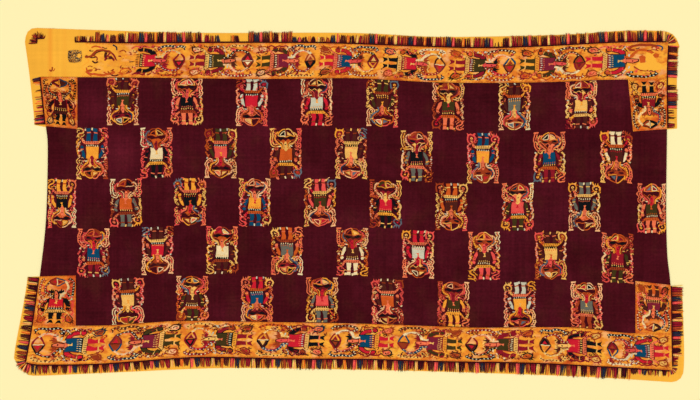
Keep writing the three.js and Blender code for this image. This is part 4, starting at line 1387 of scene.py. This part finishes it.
def layFringe(nodeName):
    run = runs[nodeName]
    chance = np.random.default_rng([fringe["seed"], run["salt"]])
    root = rootLine(run)
    work = newWork()
    layHeading(work, root, run["out"])
    pitch = fringe["yarnPitch"] * run["spaced"]
    count = int(lengthOf(root) / pitch)
    shares = (np.arange(count) + 0.5) / count
    places = along(root, shares)
    before, after = np.maximum(shares - fringe["wayStep"], 0), np.minimum(shares + fringe["wayStep"], 1)
    ways = along(root, after) - along(root, before)
    ways /= np.hypot(*ways.T)[:, None]
    outs = np.column_stack([-ways[:, 1], ways[:, 0]]) * run["out"]
    repeat = [group for group in fringe["groups"] for yarn in range(group[2])]
    turns = [run["first"] + run["step"] * (i // run.get("each", 1)) for i in range(count)]
    groups = [repeat[turn % len(repeat)] for turn in turns]
    starts = [i for i in range(count) if i == 0 or groups[i] is not groups[i - 1]]
    for lock, (start, end) in enumerate(zip(starts, starts[1:] + [count])):
        middle = (start + end - 1) / 2
        length, tipWide, left = next(row[1:] for row in run["wear"] if (middle + 0.5) / count <= row[0])
        longer = (uneven(lock, run["salt"]) - 0.5) * 2 * fringe["lengthUneven"]
        length = length * mm * groups[start][3] * (1 + longer)
        lean = math.tan(math.radians((uneven(lock, run["salt"] + 1) - 0.5) * 2 * fringe["leanUneven"]))
        for i in range(start, end):
            reach = length * chance.uniform(fringe["shortest"] + fringe["fuller"] * tipWide, 1.0)
            gathered = (i - middle) * pitch * (tipWide - 1) * fringe["gathering"]
            aside = gathered + lean * length + chance.normal(0, fringe["asideUneven"]) * mm
            sway = chance.normal(0, fringe["swayUneven"]) * mm
            if chance.random() < left and length > 0:
                edge = places[i] + outs[i] * (fringe["headingGap"] + fringe["headingWide"])
                atSeam = i == start and end - start >= fringe["seamFrom"]  # a dark yarn parts wider groups
                dye = dyeColor("maroon", fringe["seamTone"]) if atSeam else yarnDye(groups[i], i, chance)
                under, tip = edge - outs[i] * fringe["yarnUnder"], edge + outs[i] * reach + ways[i] * aside
                layYarn(work, under, tip, sway, fringe["yarnThick"], dye, fringe["level"])
    for fan in run.get("fans", []):
        layFan(work, fan, chance)
    finishFringe(run["name"], work, nodeName)


def finishFringe(name, work, nodeName):
    points = np.vstack(work["points"])
    points[:, 2] += lift(points[:, :2])
    piece = weaveMesh(name, points, work, yarnMaterial, "support")
    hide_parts(nodeName)


# What is left at the lost corner: a bent heading, with yarns along both arms and round the bend. Each set of
# yarns has its arm, first angle and turn, length, first share of the length and what is added to it.
tuft = {"at": (-1170, 624), "each": 11, "thick": 2.6 * mm, "armThick": 5 * mm, "armUnder": 0.1, "seed": 41,
        "angleUneven": 4, "swayUneven": 0.8, "reach": (0.65, 1.0),
        "sets": [((28, 0), 96, -36, 32, 1, -0.6), ((0, -18), 176, 8, 35, 0.8, 0.2),
                 ((0, 0), 100, 74, 25, 1, 0)],
        "dyes": "maroon maroon brown rust crimson rust maroon".split()}


def layTuft():
    chance = np.random.default_rng(tuft["seed"])
    corner = np.array(tuft["at"]) * mm
    work = newWork()
    for yarns in tuft["sets"][:2]:
        arm = np.array(yarns[0]) * mm
        layYarn(work, corner - arm * tuft["armUnder"], corner + arm, 0.0, tuft["armThick"],
                dyeColor("maroon", fringe["headingTone"]), fringe["level"])
    for end, angle, turning, length, share, growing in tuft["sets"]:
        for s in (np.arange(tuft["each"]) + 0.5) / tuft["each"]:
            root = corner + np.array(end) * mm * s
            turn = math.radians(angle + turning * s + chance.normal(0, tuft["angleUneven"]))
            way = np.array([math.cos(turn), math.sin(turn)])
            tip = root + way * (length * (share + growing * s)) * mm * chance.uniform(*tuft["reach"])
            sway = chance.normal(0, tuft["swayUneven"]) * mm
            dye = dyeColor(chance.choice(tuft["dyes"]))
            layYarn(work, root, tip, sway, tuft["thick"], dye, fringe["level"])
    finishFringe("fringeTuft", work, "fringe_tuft")


for nodeName in runs:
    layFringe(nodeName)
layTuft()


# Stage: a plain pale floor, soft even light, and a camera straight above

stage = {
    "floorSize": 30.0, "floorDrop": 0.5 * mm, "worldLight": 0.74,
    "sunLight": 1.05, "sunTilt": (28, -24), "sunWide": 20, "sunHigh": 4,
    "lens": 85.0, "sensor": 36.0, "frameWide": 2625 * mm, "aim": (3.75 * mm, 18.75 * mm), "farthest": 100,
}


def setStage():
    bpy.ops.object.select_all(action="DESELECT")
    bpy.ops.mesh.primitive_plane_add(size=stage["floorSize"], location=(0, 0, -stage["floorDrop"]))
    floor = bpy.context.object
    floor.name = "floor"
    material, tree, shader = newMaterial("paleFloor", 0.95)
    shader.inputs["Base Color"].default_value = dyeColor("floor")
    floor.data.materials.append(material)
    world = bpy.data.worlds.new("softLight")
    world.use_nodes = True
    background = world.node_tree.nodes["Background"]
    background.inputs["Color"].default_value = (1, 1, 1, 1)
    background.inputs["Strength"].default_value = stage["worldLight"]
    bpy.context.scene.world = world
    bpy.ops.object.light_add(type="SUN", location=(0, 0, stage["sunHigh"]))
    sun = bpy.context.object
    sun.data.energy = stage["sunLight"]
    sun.data.angle = math.radians(stage["sunWide"])
    sun.rotation_euler = [math.radians(a) for a in (*stage["sunTilt"], 0)]
    high = stage["frameWide"] / stage["sensor"] * stage["lens"]
    bpy.ops.object.camera_add(location=(*stage["aim"], high), rotation=(0, 0, 0))
    camera = bpy.context.object
    camera.data.lens = stage["lens"]
    camera.data.sensor_width = stage["sensor"]
    camera.data.clip_end = stage["farthest"]
    bpy.context.scene.camera = camera
    bpy.context.scene.view_settings.view_transform = "Standard"


setStage()

# What each cloth measures flat, and what is sewn to it
restsOn = {"support": [], **dict.fromkeys(("ground", "bandTop", "bandBottom", "scrap"), ["supportSheet"])}
for name, cloth in cloths.items():
    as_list(restsOn.get(name, ["groundSheet"]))
